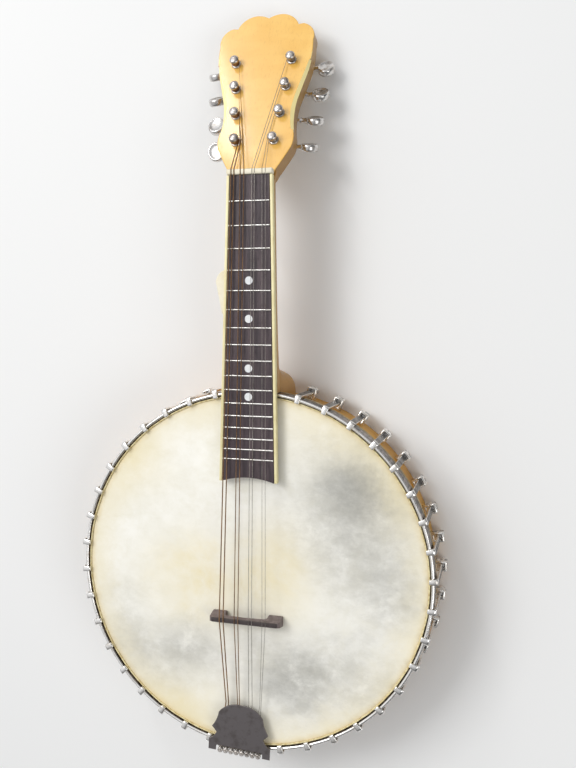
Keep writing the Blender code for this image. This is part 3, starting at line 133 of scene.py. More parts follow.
# %% Values
class Value:
    """One socket in a material, with the usual arithmetic."""

    def __init__(self, paint, socket):
        self.paint = paint
        self.socket = socket

    def maths(self, operation, *others, flip=False, clamp=False):
        values = (others[0], self) if flip else (self, *others)
        node = self.paint.node("ShaderNodeMath", {"operation": operation, "use_clamp": clamp}, *values)
        return Value(self.paint, node.outputs[0])

    def __add__(self, other):
        return self.maths("ADD", other)

    def __sub__(self, other):
        return self.maths("SUBTRACT", other)

    def __rsub__(self, other):
        return self.maths("SUBTRACT", other, flip=True)

    def __mul__(self, other):
        return self.maths("MULTIPLY", other)

    def __truediv__(self, other):
        return self.maths("DIVIDE", other)

    __radd__ = __add__
    __rmul__ = __mul__

    def clamped(self):
        return self.maths("ADD", 0.0, clamp=True)

    def smooth(self, low, high):
        """0 below low and 1 above high, with a soft step between."""
        settings = {"interpolation_type": "SMOOTHSTEP"}
        node = self.paint.node("ShaderNodeMapRange", settings, self, low, high)
        return Value(self.paint, node.outputs[0])


# %% Materials
class Paint:
    """A material with one Principled shader, and a method that adds any other node."""

    def __init__(self, name, roughness=0.5, metallic=0.0, **constants):
        self.material = bpy.data.materials.new(name)
        self.material.use_nodes = True
        self.tree = self.material.node_tree
        self.shader = self.tree.nodes["Principled BSDF"]
        self.shader.inputs["Roughness"].default_value = roughness
        self.shader.inputs["Metallic"].default_value = metallic
        for socket, number in constants.items():
            self.shader.inputs[socket.replace("_", " ")].default_value = number
        self.place = self.node("ShaderNodeTexCoord", {}).outputs["Object"]

    def node(self, kind, settings, *values, **named):
        """Adds a node. Its settings come first, then its sockets' values or links, in order or by name."""
        made = self.tree.nodes.new(kind)
        for key, setting in settings.items():
            setattr(made, key, setting)
        for socket, value in zip(made.inputs, values):
            self.feed(socket, value)
        for key, value in named.items():
            self.feed(made.inputs[key.replace("_", " ")], value)
        return made

    def feed(self, socket, value):
        if isinstance(value, Value):
            self.tree.links.new(value.socket, socket)
        elif isinstance(value, bpy.types.NodeSocket):
            self.tree.links.new(value, socket)
        else:
            socket.default_value = value

    def noise(self, scale, detail=3.0, roughness=0.5, distortion=0.0, stretch=(1.0, 1.0, 1.0)):
        place = self.node("ShaderNodeMapping", {}, Vector=self.place, Scale=stretch).outputs[0]
        sockets = {"Scale": scale, "Detail": detail, "Roughness": roughness, "Distortion": distortion}
        return Value(self, self.node("ShaderNodeTexNoise", {}, Vector=place, **sockets).outputs[0])

    def distance(self, point, stretch):
        """Distance from a point of the object, measured longer along a stretched axis."""
        kind = "ShaderNodeVectorMath"
        moved = self.node(kind, {"operation": "SUBTRACT"}, self.place, point).outputs[0]
        longer = self.node(kind, {"operation": "MULTIPLY"}, moved, stretch).outputs[0]
        return Value(self, self.node(kind, {"operation": "LENGTH"}, longer).outputs["Value"])

    def height(self):
        """Height above the ground."""
        return Value(self, self.node("ShaderNodeSeparateXYZ", {}, self.place).outputs[2])

    def mix(self, share, first, second):
        """The first colour where the share is 0, and the second where it is 1."""
        node = self.node("ShaderNodeMix", {"data_type": "RGBA"})
        self.feed(node.inputs["Factor"], share)
        for socket, colour in ((node.inputs[6], first), (node.inputs[7], second)):
            self.feed(socket, (*colour, 1.0) if isinstance(colour, tuple) else colour)
        return node.outputs[2]

    def finish(self, colour, roughness, height, depth):
        """Feeds the shader. The height goes through a bump of a given depth."""
        self.feed(self.shader.inputs["Base Color"], colour)
        self.feed(self.shader.inputs["Roughness"], roughness)
        bump = self.node("ShaderNodeBump", {}, Strength=1.0, Distance=depth, Height=height)
        self.feed(self.shader.inputs["Normal"], bump.outputs[0])
        return self.material


# %% [markdown]
# ## Wood finishes
# The headstock's face is pale maple under a honey coloured varnish, with fine lines along the grain and
# broad soft figure across it. Its chamfers are paler wood, brightened further by a painted highlight, its
# sides darker by a painted shade, the neck's back darker by a painted shade, and the rim is browner. The
# fingerboard is rosewood: nearly black brown, with open pores and streaks. The bridge is greyer, and a
# painted shade turns its top black. A picture of wood would need to be unwrapped onto each piece. Noise
# stretched along the grain needs no seams.

# %% Woods
def varnished(name, light, dark, streak, roughness, coat=0.35):
    """Pale wood with fine lines along y and broad figure across it."""
    wood = Paint(name, roughness=roughness, Coat_Weight=coat, Coat_Roughness=0.12)
    lines = wood.noise(900.0, detail=4.0, roughness=0.6, stretch=(1.0, 0.035, 1.0))
    broad = wood.noise(30.0, detail=3.0, distortion=0.5, stretch=(1.0, 0.22, 1.0))
    figure = wood.noise(120.0, detail=2.0, stretch=(0.35, 1.0, 0.35))
    base = wood.mix((broad.smooth(0.3, 0.7) * 0.7 + figure.smooth(0.35, 0.7) * 0.3).clamped(), light, dark)
    grained = wood.mix(lines.smooth(0.50, 0.80) * 0.40, base, streak)
    worn = wood.noise(35.0, detail=4.0)
    return wood.finish(grained, roughness + 0.14 * worn, lines * 0.5 + worn * 0.5, 0.03 * mm)


maple = varnished("maple", (0.93, 0.585, 0.155), (0.84, 0.475, 0.095), (0.64, 0.31, 0.055), 0.24)
# Paler maple, brightened further as a painted highlight for the headstock's chamfers. The dowel stick has it
# too.
pale_maple_and_highlight = varnished("pale_maple_and_highlight", (1.0, 0.90, 0.46), (1.0, 0.83, 0.36), (0.95, 0.70, 0.28), 0.30)
# The headstock's sides: maple darkened as a painted shade.
side_maple_painted_shade = varnished("side_maple_painted_shade", (0.48, 0.27, 0.065), (0.36, 0.185, 0.042), (0.24, 0.11, 0.024), 0.3)
# The neck's back: maple darkened as a painted shade for its heel.
neck_maple_painted_shade = varnished("neck_maple_painted_shade", (0.54, 0.28, 0.050), (0.42, 0.20, 0.032), (0.27, 0.12, 0.020), 0.30, 0.2)
rim_wood = varnished("rim_wood", (0.80, 0.43, 0.050), (0.64, 0.30, 0.026), (0.38, 0.155, 0.016), 0.42, 0.08)


def dark_wood(name, light, dark, roughness, painted_shade_above=None):
    """Dark wood with streaks and open pores along y, with a painted shade that turns it black between two
    heights.
    """
    wood = Paint(name, roughness=roughness, Specular_IOR_Level=0.4)
    streaks = wood.noise(260.0, detail=5.0, roughness=0.65, distortion=0.4, stretch=(1.0, 0.07, 1.0))
    pores = wood.noise(2400.0, detail=2.0, stretch=(1.0, 0.10, 1.0))
    rubbed = wood.noise(40.0, detail=3.0)
    base = wood.mix(streaks.smooth(0.35, 0.68), dark, light)
    if painted_shade_above:
        # A painted shade turns the wood black towards the top.
        base = wood.mix(wood.height().smooth(*painted_shade_above) * 0.85, base, (0.030, 0.022, 0.022))
    pored = wood.mix(pores.smooth(0.60, 0.72) * 0.6, base, tuple(0.35 * c for c in dark))
    return wood.finish(pored, roughness + 0.2 * rubbed, 1.0 - pores.smooth(0.58, 0.74), 0.08 * mm)


rosewood = dark_wood("rosewood", (0.092, 0.064, 0.070), (0.044, 0.031, 0.036), 0.38)
bridge_height = 12.1 * mm
bridge_top = head_top + clear + bridge_height
bridge_wood_and_top_shade = dark_wood(
    "bridge_wood_and_top_shade",
    (0.235, 0.188, 0.182),
    (0.150, 0.114, 0.110),
    0.42,
    painted_shade_above=(bridge_top - 1.6 * mm, bridge_top - 0.4 * mm),
)
print("woods:", maple.name, rim_wood.name, rosewood.name)

# %% [markdown]
# ## Calfskin
# The head is old calfskin: cream, yellower towards the hoop, with faint veins and with soft grey clouds
# where hands and dirt have darkened it. One noise over the whole skin would put its clouds anywhere. So
# each cloud is a smooth falloff from a listed point, and only its edges are left to noise. A row
# gives its middle, measured from the nut, and its radius, all in millimetres, then its strength and its
# squeeze along x and y.

# %% Calfskin
skin_paint = Paint("calfskin", roughness=0.5, Specular_IOR_Level=0.35)
grey_clouds = (
    (74.0, -228.0, 25.0, 0.88, (0.9, 1.0)),
    (67.0, -238.0, 50.0, 0.38, (1.0, 0.8)),
    (88.0, -272.0, 44.0, 0.40, (1.0, 0.7)),
    (108.0, -304.0, 26.0, 0.28, (1.0, 0.8)),
    (36.0, -372.0, 24.0, 0.95, (0.9, 1.0)),
    (60.0, -366.0, 42.0, 0.42, (0.7, 1.2)),
    (30.0, -394.0, 24.0, 0.26, (0.8, 1.2)),
    (-66.0, -364.0, 36.0, 0.34, (0.7, 1.2)),
    (-48.0, -352.0, 26.0, 0.26, (1.0, 1.0)),
    (-102.0, -338.0, 28.0, 0.18, (1.0, 0.7)),
    (4.0, -352.0, 34.0, 0.20, (1.8, 0.7)),
)
yellow_clouds = (
    (-44.0, -304.0, 42.0, 0.95, (0.8, 1.0)),
    (22.0, -290.0, 36.0, 0.75, (1.0, 0.8)),
    (104.0, -222.0, 30.0, 0.45, (1.0, 0.7)),
    (-100.0, -214.0, 34.0, 0.40, (0.8, 1.0)),
    (-60.0, -404.0, 40.0, 0.40, (0.8, 1.0)),
    (60.0, -190.0, 30.0, 0.35, (0.8, 1.0)),
)
mottle = skin_paint.noise(46.0, detail=7.0, roughness=0.66, distortion=0.25)
fine = skin_paint.noise(190.0, detail=6.0, roughness=0.68, distortion=0.2)
brushed = skin_paint.noise(85.0, detail=7.0, roughness=0.70, distortion=0.2, stretch=(0.7, 1.0, 1.0))
blotch = skin_paint.noise(21.0, detail=7.0, roughness=0.66, distortion=0.3)


def clouded_over(clouds):
    """Soft spots that fall off from their middles, with ragged edges, summed."""
    total = 0.0
    for x, y, radius, strength, squeeze in clouds:
        spot = skin_paint.distance((x * mm, nut_y + y * mm, head_top), (*squeeze, 0.0))
        wander = (mottle - 0.5) * (radius * 0.9 * mm)
        total = (1.0 - (spot + wander).smooth(0.0, radius * 1.3 * mm)) * strength + total
    return total


# %% Calfskin colours
feathered = (
    0.10
    + mottle.smooth(0.30, 0.70) * 0.70
    + blotch.smooth(0.32, 0.68) * 0.75
    + brushed.smooth(0.34, 0.66) * 0.55
)
stained = clouded_over(grey_clouds) * feathered * (0.50 + fine)
# The division is a soft limit, so that clouds which overlap keep their pattern.
grey = stained / (1.0 + stained)
yellow = clouded_over(yellow_clouds) * (0.2 + mottle * 0.7 + blotch.smooth(0.35, 0.65) * 0.8)
rim_way = skin_paint.distance((pot.x, pot.y, head_top), (1.0, 1.0, 0.0))
warm = (rim_way + (mottle - 0.5) * (24.0 * mm)).smooth(100.0 * mm, 136.0 * mm)
edge = (rim_way + (fine - 0.5) * (6.0 * mm)).smooth(127.0 * mm, 134.0 * mm)
aged = (mottle.smooth(0.36, 0.66) * 0.6 + brushed.smooth(0.4, 0.7) * 0.4).clamped()
base = skin_paint.mix(aged, (0.96, 0.94, 0.865), (0.86, 0.83, 0.72))
yellowed = skin_paint.mix((warm * 0.50 + yellow * 0.85).clamped(), base, (0.85, 0.75, 0.48))
edged = skin_paint.mix(edge * 0.5, yellowed, (0.74, 0.58, 0.28))
veined = skin_paint.mix(fine.smooth(0.60, 0.82) * 0.20, edged, (0.70, 0.66, 0.56))
clouded = skin_paint.mix(grey * 1.08, veined, (0.243, 0.241, 0.225))
# Below the hoop's lower edge, the skin's collar is darker and browner, a painted shade.
above_collar_shade = skin_paint.height().smooth(hoop_bottom, hoop_bottom + 1.0 * mm)
collar = skin_paint.mix(fine.smooth(0.4, 0.6), (0.46, 0.37, 0.22), (0.30, 0.23, 0.13))
collar_shaded = skin_paint.mix(above_collar_shade, collar, clouded)
calfskin = skin_paint.finish(collar_shaded, 0.44 + 0.18 * fine, fine * 0.7 + mottle * 0.3, 0.12 * mm)
skin_roll_paint = Paint("skin_roll", roughness=0.55)
roll_noise = skin_roll_paint.noise(420.0, detail=4.0)
roll_colour = skin_roll_paint.mix(roll_noise.smooth(0.35, 0.7), (0.82, 0.72, 0.42), (0.60, 0.46, 0.20))
rolled_skin = skin_roll_paint.finish(roll_colour, 0.5 + 0.2 * roll_noise, roll_noise, 0.15 * mm)
print("calfskin clouds:", len(grey_clouds), len(yellow_clouds))

# %% [markdown]
# ## Metals
# The hooks, hoop and tuners are nickel plate with a soft brown tarnish in patches. A hook's flat outer
# face is a painted dark reflection, much darker than its edges. Below a height, the hoop under its bead
# has a painted shade and painted reflection streaks, which leave a painted highlight on the bead's crown,
# and the inside of a shoe has painted reflection streaks, light and dark. The tailpiece's cover is dark
# and has lost most of its shine. Plain metal with one roughness would look new, so a noise moves colour
# and roughness together, as tarnish does.

# %% Plate
def plated(name, bright, dull, spots, roughness, dull_roughness, painted_shade_below=None, ragged=2.0 * mm):
    """Metal plate, bright with dull patches and dark spots, and a painted shade with painted reflection
    streaks below a ragged line.
    """
    metal = Paint(name, roughness=roughness, metallic=1.0)
    patches = metal.noise(160.0, detail=5.0, roughness=0.6)
    pits = metal.noise(1500.0, detail=3.0, roughness=0.6)
    tarnish = patches.smooth(0.46, 0.70)
    colour = metal.mix(tarnish, bright, dull)
    if painted_shade_below:
        low, high, shade = painted_shade_below
        # Below the line the colour is a painted shade, broken by painted reflection streaks.
        lit = (metal.height() + (patches - 0.5) * ragged).smooth(low, high)
        streaks = metal.noise(420.0, detail=3.0, stretch=(1.0, 1.0, 0.12)).smooth(0.42, 0.60)
        deep = tuple(0.28 * c for c in shade)
        pale = tuple(min(1.0, 1.9 * c) for c in shade)
        colour = metal.mix(lit, metal.mix(streaks, deep, pale), colour)
    pitted = metal.mix(pits.smooth(0.62, 0.76) * spots, colour, tuple(0.35 * c for c in dull))
    rough = roughness + tarnish * (dull_roughness - roughness) + 0.10 * pits
    return metal.finish(pitted, rough, pits * 0.5 + patches * 0.5, 0.05 * mm)


# %% Nickel and steel
silver, tarnished = (0.88, 0.86, 0.82), (0.60, 0.56, 0.50)
nickel = plated("nickel", silver, tarnished, 0.5, 0.18, 0.36)
hook_nickel = plated("hook_nickel", (0.93, 0.91, 0.88), (0.72, 0.68, 0.62), 0.3, 0.16, 0.30)
# A hook's flat outer face: a painted dark reflection.
hook_face_painted_dark = plated("hook_face_painted_dark", (0.150, 0.138, 0.130), (0.075, 0.066, 0.060), 0.3, 0.22, 0.34)
# The hoop: a painted highlight along its bead's crown, with a painted dark shade and reflection below it.
hoop_nickel_highlight_and_shade = plated(
    "hoop_nickel_highlight_and_shade",
    (0.95, 0.93, 0.90),
    (0.74, 0.70, 0.65),
    0.3,
    0.16,
    0.28,
    painted_shade_below=(hoop_top - 0.90 * mm, hoop_top - 0.40 * mm, (0.10, 0.080, 0.074)),
    ragged=0.3 * mm,
)
# Inside a shoe the plate has painted reflection streaks, light and dark.
shoe_shade = (shoe_top - 4.5 * mm, shoe_top - 2.0 * mm, (0.85, 0.83, 0.80))
shoe_nickel_painted_streaks = plated("shoe_nickel_painted_streaks", silver, tarnished, 0.3, 0.20, 0.36, painted_shade_below=shoe_shade)
# The cover's plate: a dark colour and a high roughness.
dark_dull_nickel = plated("dark_dull_nickel", (0.190, 0.172, 0.172), (0.140, 0.124, 0.120), 0.25, 0.40, 0.52)
button_nickel = plated("button_nickel", (0.70, 0.68, 0.66), (0.42, 0.38, 0.34), 0.4, 0.20, 0.36)
post_nickel = plated("post_nickel", (0.60, 0.56, 0.53), (0.26, 0.23, 0.20), 0.4, 0.20, 0.40)
fret_nickel = plated("fret_nickel", silver, (0.70, 0.66, 0.60), 0.15, 0.30, 0.40)
bracket_nickel = plated("bracket_nickel", (0.62, 0.58, 0.54), (0.34, 0.31, 0.28), 0.4, 0.26, 0.42)
steel = plated("steel", (0.34, 0.31, 0.28), (0.22, 0.19, 0.16), 0.2, 0.28, 0.42)


# %% [markdown]
# ## Celluloid, bone and pearl
# Bindings are yellowed celluloid, the nut and the side ear are old bone, and the dots are pearl. Light
# that goes under the surface would suit them too, but it hardly shows on pieces this thin. Two close
# tones and a thin coat do the work.

# %% Plastics
def aged_plastic(name, light, dark, roughness):
    """Plastic, bone or pearl with broad soft patches and fine marks."""
    plastic = Paint(name, roughness=roughness, Coat_Weight=0.15, Coat_Roughness=0.2)
    broad = plastic.noise(60.0, detail=4.0, roughness=0.6)
    fine_marks = plastic.noise(900.0, detail=3.0)
    colour = plastic.mix((broad.smooth(0.35, 0.7) * 0.8 + fine_marks * 0.2).clamped(), light, dark)
    return plastic.finish(colour, roughness + 0.16 * broad, fine_marks, 0.03 * mm)


celluloid = aged_plastic("celluloid", (0.89, 0.81, 0.47), (0.74, 0.64, 0.32), 0.34)
bone = aged_plastic("bone", (0.86, 0.81, 0.66), (0.76, 0.68, 0.48), 0.36)
pearl = aged_plastic("pearl", (0.90, 0.90, 0.88), (0.78, 0.80, 0.82), 0.2)

# %% [markdown]
# ## The wound strings' finish
# Plain strings are dull steel. The bass pairs are wound: a fine bronze wire closely wrapped round a steel
# core. A modelled wire would need thousands of turns for a detail finer than a pixel, so rings of a wave
# pattern along the neck give the winding.

# %% Bronze winding
wound_paint = Paint("bronze_wound", roughness=0.36, metallic=1.0)
wraps = wound_paint.node(
    "ShaderNodeTexWave",
    {"wave_type": "BANDS", "bands_direction": "Y", "wave_profile": "SIN"},
    Vector=wound_paint.place,
    Scale=900.0,
    Distortion=0.0,
)
wrap_height = Value(wound_paint, wraps.outputs["Fac"])
wear = wound_paint.noise(120.0, detail=4.0)
wound_colour = wound_paint.mix(wear.smooth(0.4, 0.7), (0.42, 0.25, 0.135), (0.27, 0.165, 0.10))
# A painted shade darkens the grooves between the wraps.
groove_painted_shade = wound_paint.mix((1.0 - wrap_height) * 0.5, wound_colour, (0.12, 0.06, 0.03))
bronze = wound_paint.finish(groove_painted_shade, 0.3 + 0.25 * wear, wrap_height, 0.10 * mm)
print("metals:", nickel.name, dark_dull_nickel.name, bronze.name)

# %% [markdown]
# ## Helpers for meshes
# Each piece starts as a bmesh and ends as an object at the origin with its place in its mesh. The
# editor's own operators would work too, but they depend on what is selected, and a bmesh doesn't. The
# helper named piece gives an object its material, its body and the node that it replaces.

# %% Mesh helpers
made_pieces = []
merge_distance = 0.001 * mm
# A cutter reaches this far past what it cuts.
over = 10 * mm
upright = Matrix.Rotation(pi / 2, 4, "X")


def as_mesh(name, form):
    """A mesh made from a bmesh, which is freed."""
    mesh = bpy.data.meshes.new(name)
    form.to_mesh(mesh)
    form.free()
    return mesh


def evaluated(obj):
    """The mesh of an object, with its modifiers or its curve worked out."""
    bpy.context.view_layer.update()
    return bpy.data.meshes.new_from_object(obj.evaluated_get(bpy.context.evaluated_depsgraph_get()))


def piece(name, form, coat, node=None, at=None, body="body", sharp=38.0, coats=()):
    """Turns a bmesh into a finished piece."""
    if at is not None:
        bmesh.ops.transform(form, matrix=at, verts=form.verts)
    bmesh.ops.remove_doubles(form, verts=form.verts, dist=merge_distance)
    bmesh.ops.recalc_face_normals(form, faces=form.faces)
    mesh = as_mesh(name, form)
    mesh.shade_smooth()
    mesh.set_sharp_from_angle(angle=radians(sharp))
    # A flat face with many corners shades badly when it is smooth.
    for face in mesh.polygons:
        face.use_smooth = len(face.vertices) <= 4
    for one in (coat, *coats):
        mesh.materials.append(one)
    obj = linked(name, mesh)
    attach(obj, body)
    if node:
        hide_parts(node)
    made_pieces.append(name)
    print(name, "on", body, "with", len(mesh.polygons), "faces")


def put(form, other, matrix=None):
    """Adds one bmesh to another, moved by a matrix."""
    if matrix is not None:
        bmesh.ops.transform(other, matrix=matrix, verts=other.verts)
    mesh = as_mesh("part", other)
    form.from_mesh(mesh)
    bpy.data.meshes.remove(mesh)


# %% [markdown]
# ## Basic forms
# Turned pieces come from a spin, flat ones from an outline raised between two heights, and small ones
# from a box or a cylinder. These cover most of an instrument, so each has a helper.

# %% Basic forms
def spun(profile, steps=192, closed=True):
    """A (radius, height) profile spun once about the vertical axis."""
    form = bmesh.new()
    verts = [form.verts.new((radius, 0.0, height)) for radius, height in profile]
    pairs = list(zip(verts, verts[1:] + verts[:1]))
    edges = [form.edges.new(pair) for pair in (pairs if closed else pairs[:-1])]
    axis = {"cent": (0.0, 0.0, 0.0), "axis": (0.0, 0.0, 1.0)}
    bmesh.ops.spin(form, geom=verts + edges, **axis, angle=tau, steps=steps, use_merge=True)
    bmesh.ops.remove_doubles(form, verts=form.verts, dist=merge_distance)
    bmesh.ops.recalc_face_normals(form, faces=form.faces)
    return form


def slab(points, low, high):
    """A flat outline raised between two heights."""
    form = bmesh.new()
    face = form.faces.new([form.verts.new((x, y, low)) for x, y in points])
    raised = bmesh.ops.extrude_face_region(form, geom=[face])["geom"]
    verts = [item for item in raised if isinstance(item, bmesh.types.BMVert)]
    bmesh.ops.translate(form, vec=(0.0, 0.0, high - low), verts=verts)
    bmesh.ops.recalc_face_normals(form, faces=form.faces)
    return form


def block(low, high):
    """A box between two corners."""
    form = bmesh.new()
    low, high = Vector(low), Vector(high)
    place = Matrix.Translation((low + high) / 2) @ Matrix.Diagonal((*(high - low), 1.0))
    bmesh.ops.create_cube(form, size=1.0, matrix=place)
    return form


def rod(radius, start, end, sides=24):
    """A cylinder between two points."""
    form = bmesh.new()
    start, run = Vector(start), Vector(end) - Vector(start)
    place = Matrix.Translation(start + run / 2) @ run.to_track_quat("Z", "Y").to_matrix().to_4x4()
    ends = {"cap_ends": True, "radius1": radius, "radius2": radius}
    bmesh.ops.create_cone(form, **ends, segments=sides, depth=run.length, matrix=place)
    return form


def pin(radius, x, y, start, end, sides=24):
    """An upright cylinder between two heights."""
    return rod(radius, (x, y, start), (x, y, end), sides)


# %% [markdown]
# ## Rounded edges and lofts
# Hardly any edge on a real instrument is sharp. A Bevel modifier rounds edges by their angle, but a bevel
# in the bmesh can also be kept to chosen edges. A loft joins rings of points, for pieces whose section
# changes along their length.

# %% Rounded edges and lofts
def softened(form, width, segments=2, above=25.0, keep=None):
    """Rounds the edges that turn by more than an angle, or those among them that a test keeps."""
    limit = radians(above)
    edges = [e for e in form.edges if len(e.link_faces) == 2 and e.calc_face_angle(0.0) > limit]
    if keep:
        edges = [e for e in edges if keep(e)]
    bmesh.ops.bevel(
        form,
        geom=edges,
        offset=width,
        offset_type="OFFSET",
        segments=segments,
        profile=0.5,
        affect="EDGES",
        clamp_overlap=True,
        material=-1,
    )
    return form


def is_level(edge):
    """Whether both ends of an edge are at one height."""
    return abs(edge.verts[0].co.z - edge.verts[1].co.z) < 0.1 * mm


def lofted(sections):
    """A closed skin through rings of points, joined ring to ring, with both ends filled."""
    form = bmesh.new()
    rings = []
    for section in sections:
        verts = [form.verts.new(point) for point in section]
        rings.append([form.edges.new(pair) for pair in zip(verts, verts[1:] + verts[:1])])
    for near, far in zip(rings, rings[1:]):
        bmesh.ops.bridge_loops(form, edges=near + far)
    for ring in (rings[0], rings[-1]):
        bmesh.ops.contextual_create(form, geom=ring)
    bmesh.ops.recalc_face_normals(form, faces=form.faces)
    return form


# %% [markdown]
# ## Outlines
# An edge with round stretches is drawn as points and arcs. Each arc goes through three points, because
# three places on an edge are easier to measure than a middle and a radius.

# %% Outlines
def arc(start, through, end, steps):
    """Points after the start on the circle through three points."""
    (ax, ay), (bx, by), (cx, cy) = start, through, end
    twice = 2 * (ax * (by - cy) + bx * (cy - ay) + cx * (ay - by))
    a2, b2, c2 = ax * ax + ay * ay, bx * bx + by * by, cx * cx + cy * cy
    mx = (a2 * (by - cy) + b2 * (cy - ay) + c2 * (ay - by)) / twice
    my = (a2 * (cx - bx) + b2 * (ax - cx) + c2 * (bx - ax)) / twice
    radius, first = hypot(ax - mx, ay - my), atan2(ay - my, ax - mx)
    middle = (atan2(by - my, bx - mx) - first) % tau
    last = (atan2(cy - my, cx - mx) - first) % tau
    sweep = last if middle < last else last - tau
    turns = [first + sweep * i / steps for i in range(1, steps + 1)]
    return [(mx + radius * cos(t), my + radius * sin(t)) for t in turns]


def outline(start, *moves):
    """Points through each move: a point to go straight to, or (through, end, steps) for an arc."""
    points = [start]
    for move in moves:
        points += arc(points[-1], *move) if isinstance(move[0], tuple) else [move]
    return points


def mm_points(points):
    """Points in metres, from points in millimetres."""
    return [(x * mm, y * mm) for x, y in points]


def mm_lengths(*numbers):
    """Lengths in metres, from lengths in millimetres."""
    return [number * mm for number in numbers]


def mirrored(right):
    """A half outline made whole by its mirror image."""
    return right + [(-x, y) for x, y in reversed(right) if x > 0.01 * mm]


# %% [markdown]
# ## Cuts
# Holes, notches and fitted ends are cut by a Boolean. It is a modifier, which works on objects and not on
# a bmesh, so two short-lived objects carry it.

# %% Cuts
def cut_by(form, cutter, operation="DIFFERENCE"):
    """A Boolean between two bmeshes, done through two short-lived objects."""
    objects = []
    for shape in (form, cutter):
        bmesh.ops.recalc_face_normals(shape, faces=shape.faces)
        objects.append(linked("shape", as_mesh("shape", shape)))
    modifier = objects[0].modifiers.new("cut", "BOOLEAN")
    modifier.operation = operation
    modifier.solver = "EXACT"
    modifier.object = objects[1]
    made = bmesh.new()
    made.from_mesh(evaluated(objects[0]))
    for obj in objects:
        bpy.data.objects.remove(obj)
    return made


def notched(form, places, half, reach, low, high):
    """Cuts a notch for a string at each place across a form."""
    notches = bmesh.new()
    for x in places:
        put(notches, block((x - half, -reach, low), (x + half, reach, high)))
    return cut_by(form, notches)


def slotted_screw(profile, steps, slot_half, slot_low):
    """The turned head of a screw with a slot across it."""
    head = spun(mm_points(profile), steps, closed=False)
    return cut_by(head, block((-4 * mm, -slot_half, slot_low), (4 * mm, slot_half, 3 * mm)))


# %% [markdown]
# ## The rim
# The rim is a ring of bent wood, the wall of the pot. A cylinder with a hole cut through it would do, but
# a spin of its section makes it in one step, with softened corners. The dowel stick's passage is cut
# through its wall under the neck.

# %% Rim
def rounded_box_profile(inside, outside, low, high, corner, steps=4):
    """A rectangular section with rounded corners, as (radius, height)."""
    points = []
    for cx, cz, first in (
        (outside - corner, high - corner, 0.0),
        (inside + corner, high - corner, 90.0),
        (inside + corner, low + corner, 180.0),
        (outside - corner, low + corner, 270.0),
    ):
        for i in range(steps + 1):
            angle = radians(first + 90.0 * i / steps)
            points.append((cx + corner * cos(angle), cz + corner * sin(angle)))
    return points


dowel_half, dowel_low, dowel_high = 11.0 * mm, 14.0 * mm, 38.0 * mm


def dowel_way(near, far):
    """The room that the dowel stick needs, between two distances from the pot's axis."""
    half = dowel_half + clear
    return block((-half, near, dowel_low - clear), (half, far, dowel_high + clear))


ring = spun(rounded_box_profile(rim_inside, rim_radius, 0.0, rim_height, 1.4 * mm))
ring = cut_by(ring, dowel_way(rim_inside - over, rim_radius + over))
piece("rim_ring", ring, rim_wood, node="rim", at=on_pot)

# %% [markdown]
# ## Tone ring and skin
# A metal rod lies on the rim's top edge. The calfskin is stretched over it, turned down past the rim and
# out round the flesh hoop. A cloth simulation could stretch the skin, but its end shape is known, flat
# with one fold, so both are spun from their sections. A thin roll of skin lies inside the hoop, and noise
# makes it uneven.

# %% Tone ring and skin
def round_profile(radius, middle, sides=16):
    """A circle as (radius, height)."""
    turns = [tau * i / sides for i in range(sides)]
    return [(middle[0] + radius * cos(t), middle[1] + radius * sin(t)) for t in turns]


rod_radius = tone_rod / 2
tone = spun(round_profile(rod_radius, (rim_radius - rod_radius - clear, rim_height + clear + rod_radius)))
piece("tone_rod", tone, nickel, node="tone_ring", at=on_pot)

skirt = rim_radius + 0.8 * mm
skin_under = head_top - skin
fold_top, fold_low = hoop_bottom - 3.4 * mm, hoop_bottom - 3.9 * mm
skin_profile = [(radius * mm, head_top) for radius in (0, 20, 40, 60, 80, 100, 115, 125, 130)]
skin_profile += [
    (skirt - 1.2 * mm, head_top),
    (skirt - 0.4 * mm, head_top - 0.15 * mm),
    (skirt, head_top - 0.6 * mm),
    (skirt, fold_top),
    (flap_outside - skin, fold_top),
    (flap_outside - skin, hoop_bottom - clear),
    (flap_outside, hoop_bottom - clear),
    (flap_outside, fold_low),
    (skirt - skin, fold_low),
    (skirt - skin, skin_under),
    (0.0, skin_under),
]
hide = spun(skin_profile, steps=160, closed=False)
piece("skin_head", hide, calfskin, node="head", at=on_pot, sharp=50.0)

roll = spun(round_profile(0.62 * mm, (skirt - 0.35 * mm, head_top + 0.50 * mm), 10), steps=160)
for vert in roll.verts:
    wander = noise.noise(vert.co * 120.0)
    vert.co += Vector((vert.co.x, vert.co.y, 0.0)).normalized() * (0.30 * mm * wander - 0.1 * mm)
    vert.co.z += 0.25 * mm * noise.noise(vert.co * 60.0 + Vector((9.0, 0.0, 0.0)))
piece("skin_roll", roll, rolled_skin, at=on_pot)

# %% [markdown]
# ## Tension hoop
# The hoop is a metal band that presses the skin's fold down. A rounded bead runs along its top, beside a
# narrow ledge. A bevel could round the bead, but a half circle drawn in the section leaves the ledge as
# it is.

# %% Tension hoop
ledge, bead = hoop_top - 1.35 * mm, 1.25 * mm
hoop_profile = [(hoop_inside, hoop_bottom), (hoop_inside, ledge - 0.3 * mm), (hoop_inside + 0.2 * mm, ledge)]
hoop_profile.append((hoop_outside - 2.0 * bead - 0.05 * mm, ledge))
for i in range(11):
    angle = pi * (1.0 - i / 10)
    hoop_profile.append((hoop_outside - bead + bead * cos(angle), hoop_top - bead + bead * sin(angle)))
hoop_profile += [(hoop_outside, hoop_bottom + 0.4 * mm), (hoop_outside - 0.4 * mm, hoop_bottom)]
hoop = spun(hoop_profile)
piece("hoop_band", hoop, hoop_nickel_highlight_and_shade, at=on_pot)
print("rings made:", len(made_pieces))

# %% [markdown]
# ## Hooks, nuts and shoes
# A hook is a flat steel band bent over the hoop's edge, narrower and crowned at its claw. Below, it is
# drawn down to a round stud that passes through a shoe and takes a nut. A shoe is a small cup open at the
# top. One hook and one shoe are modelled with care at angle 0. An Array modifier could repeat them, but
# it can't leave the gaps at the neck and the tail, so a loop makes them at each angle.

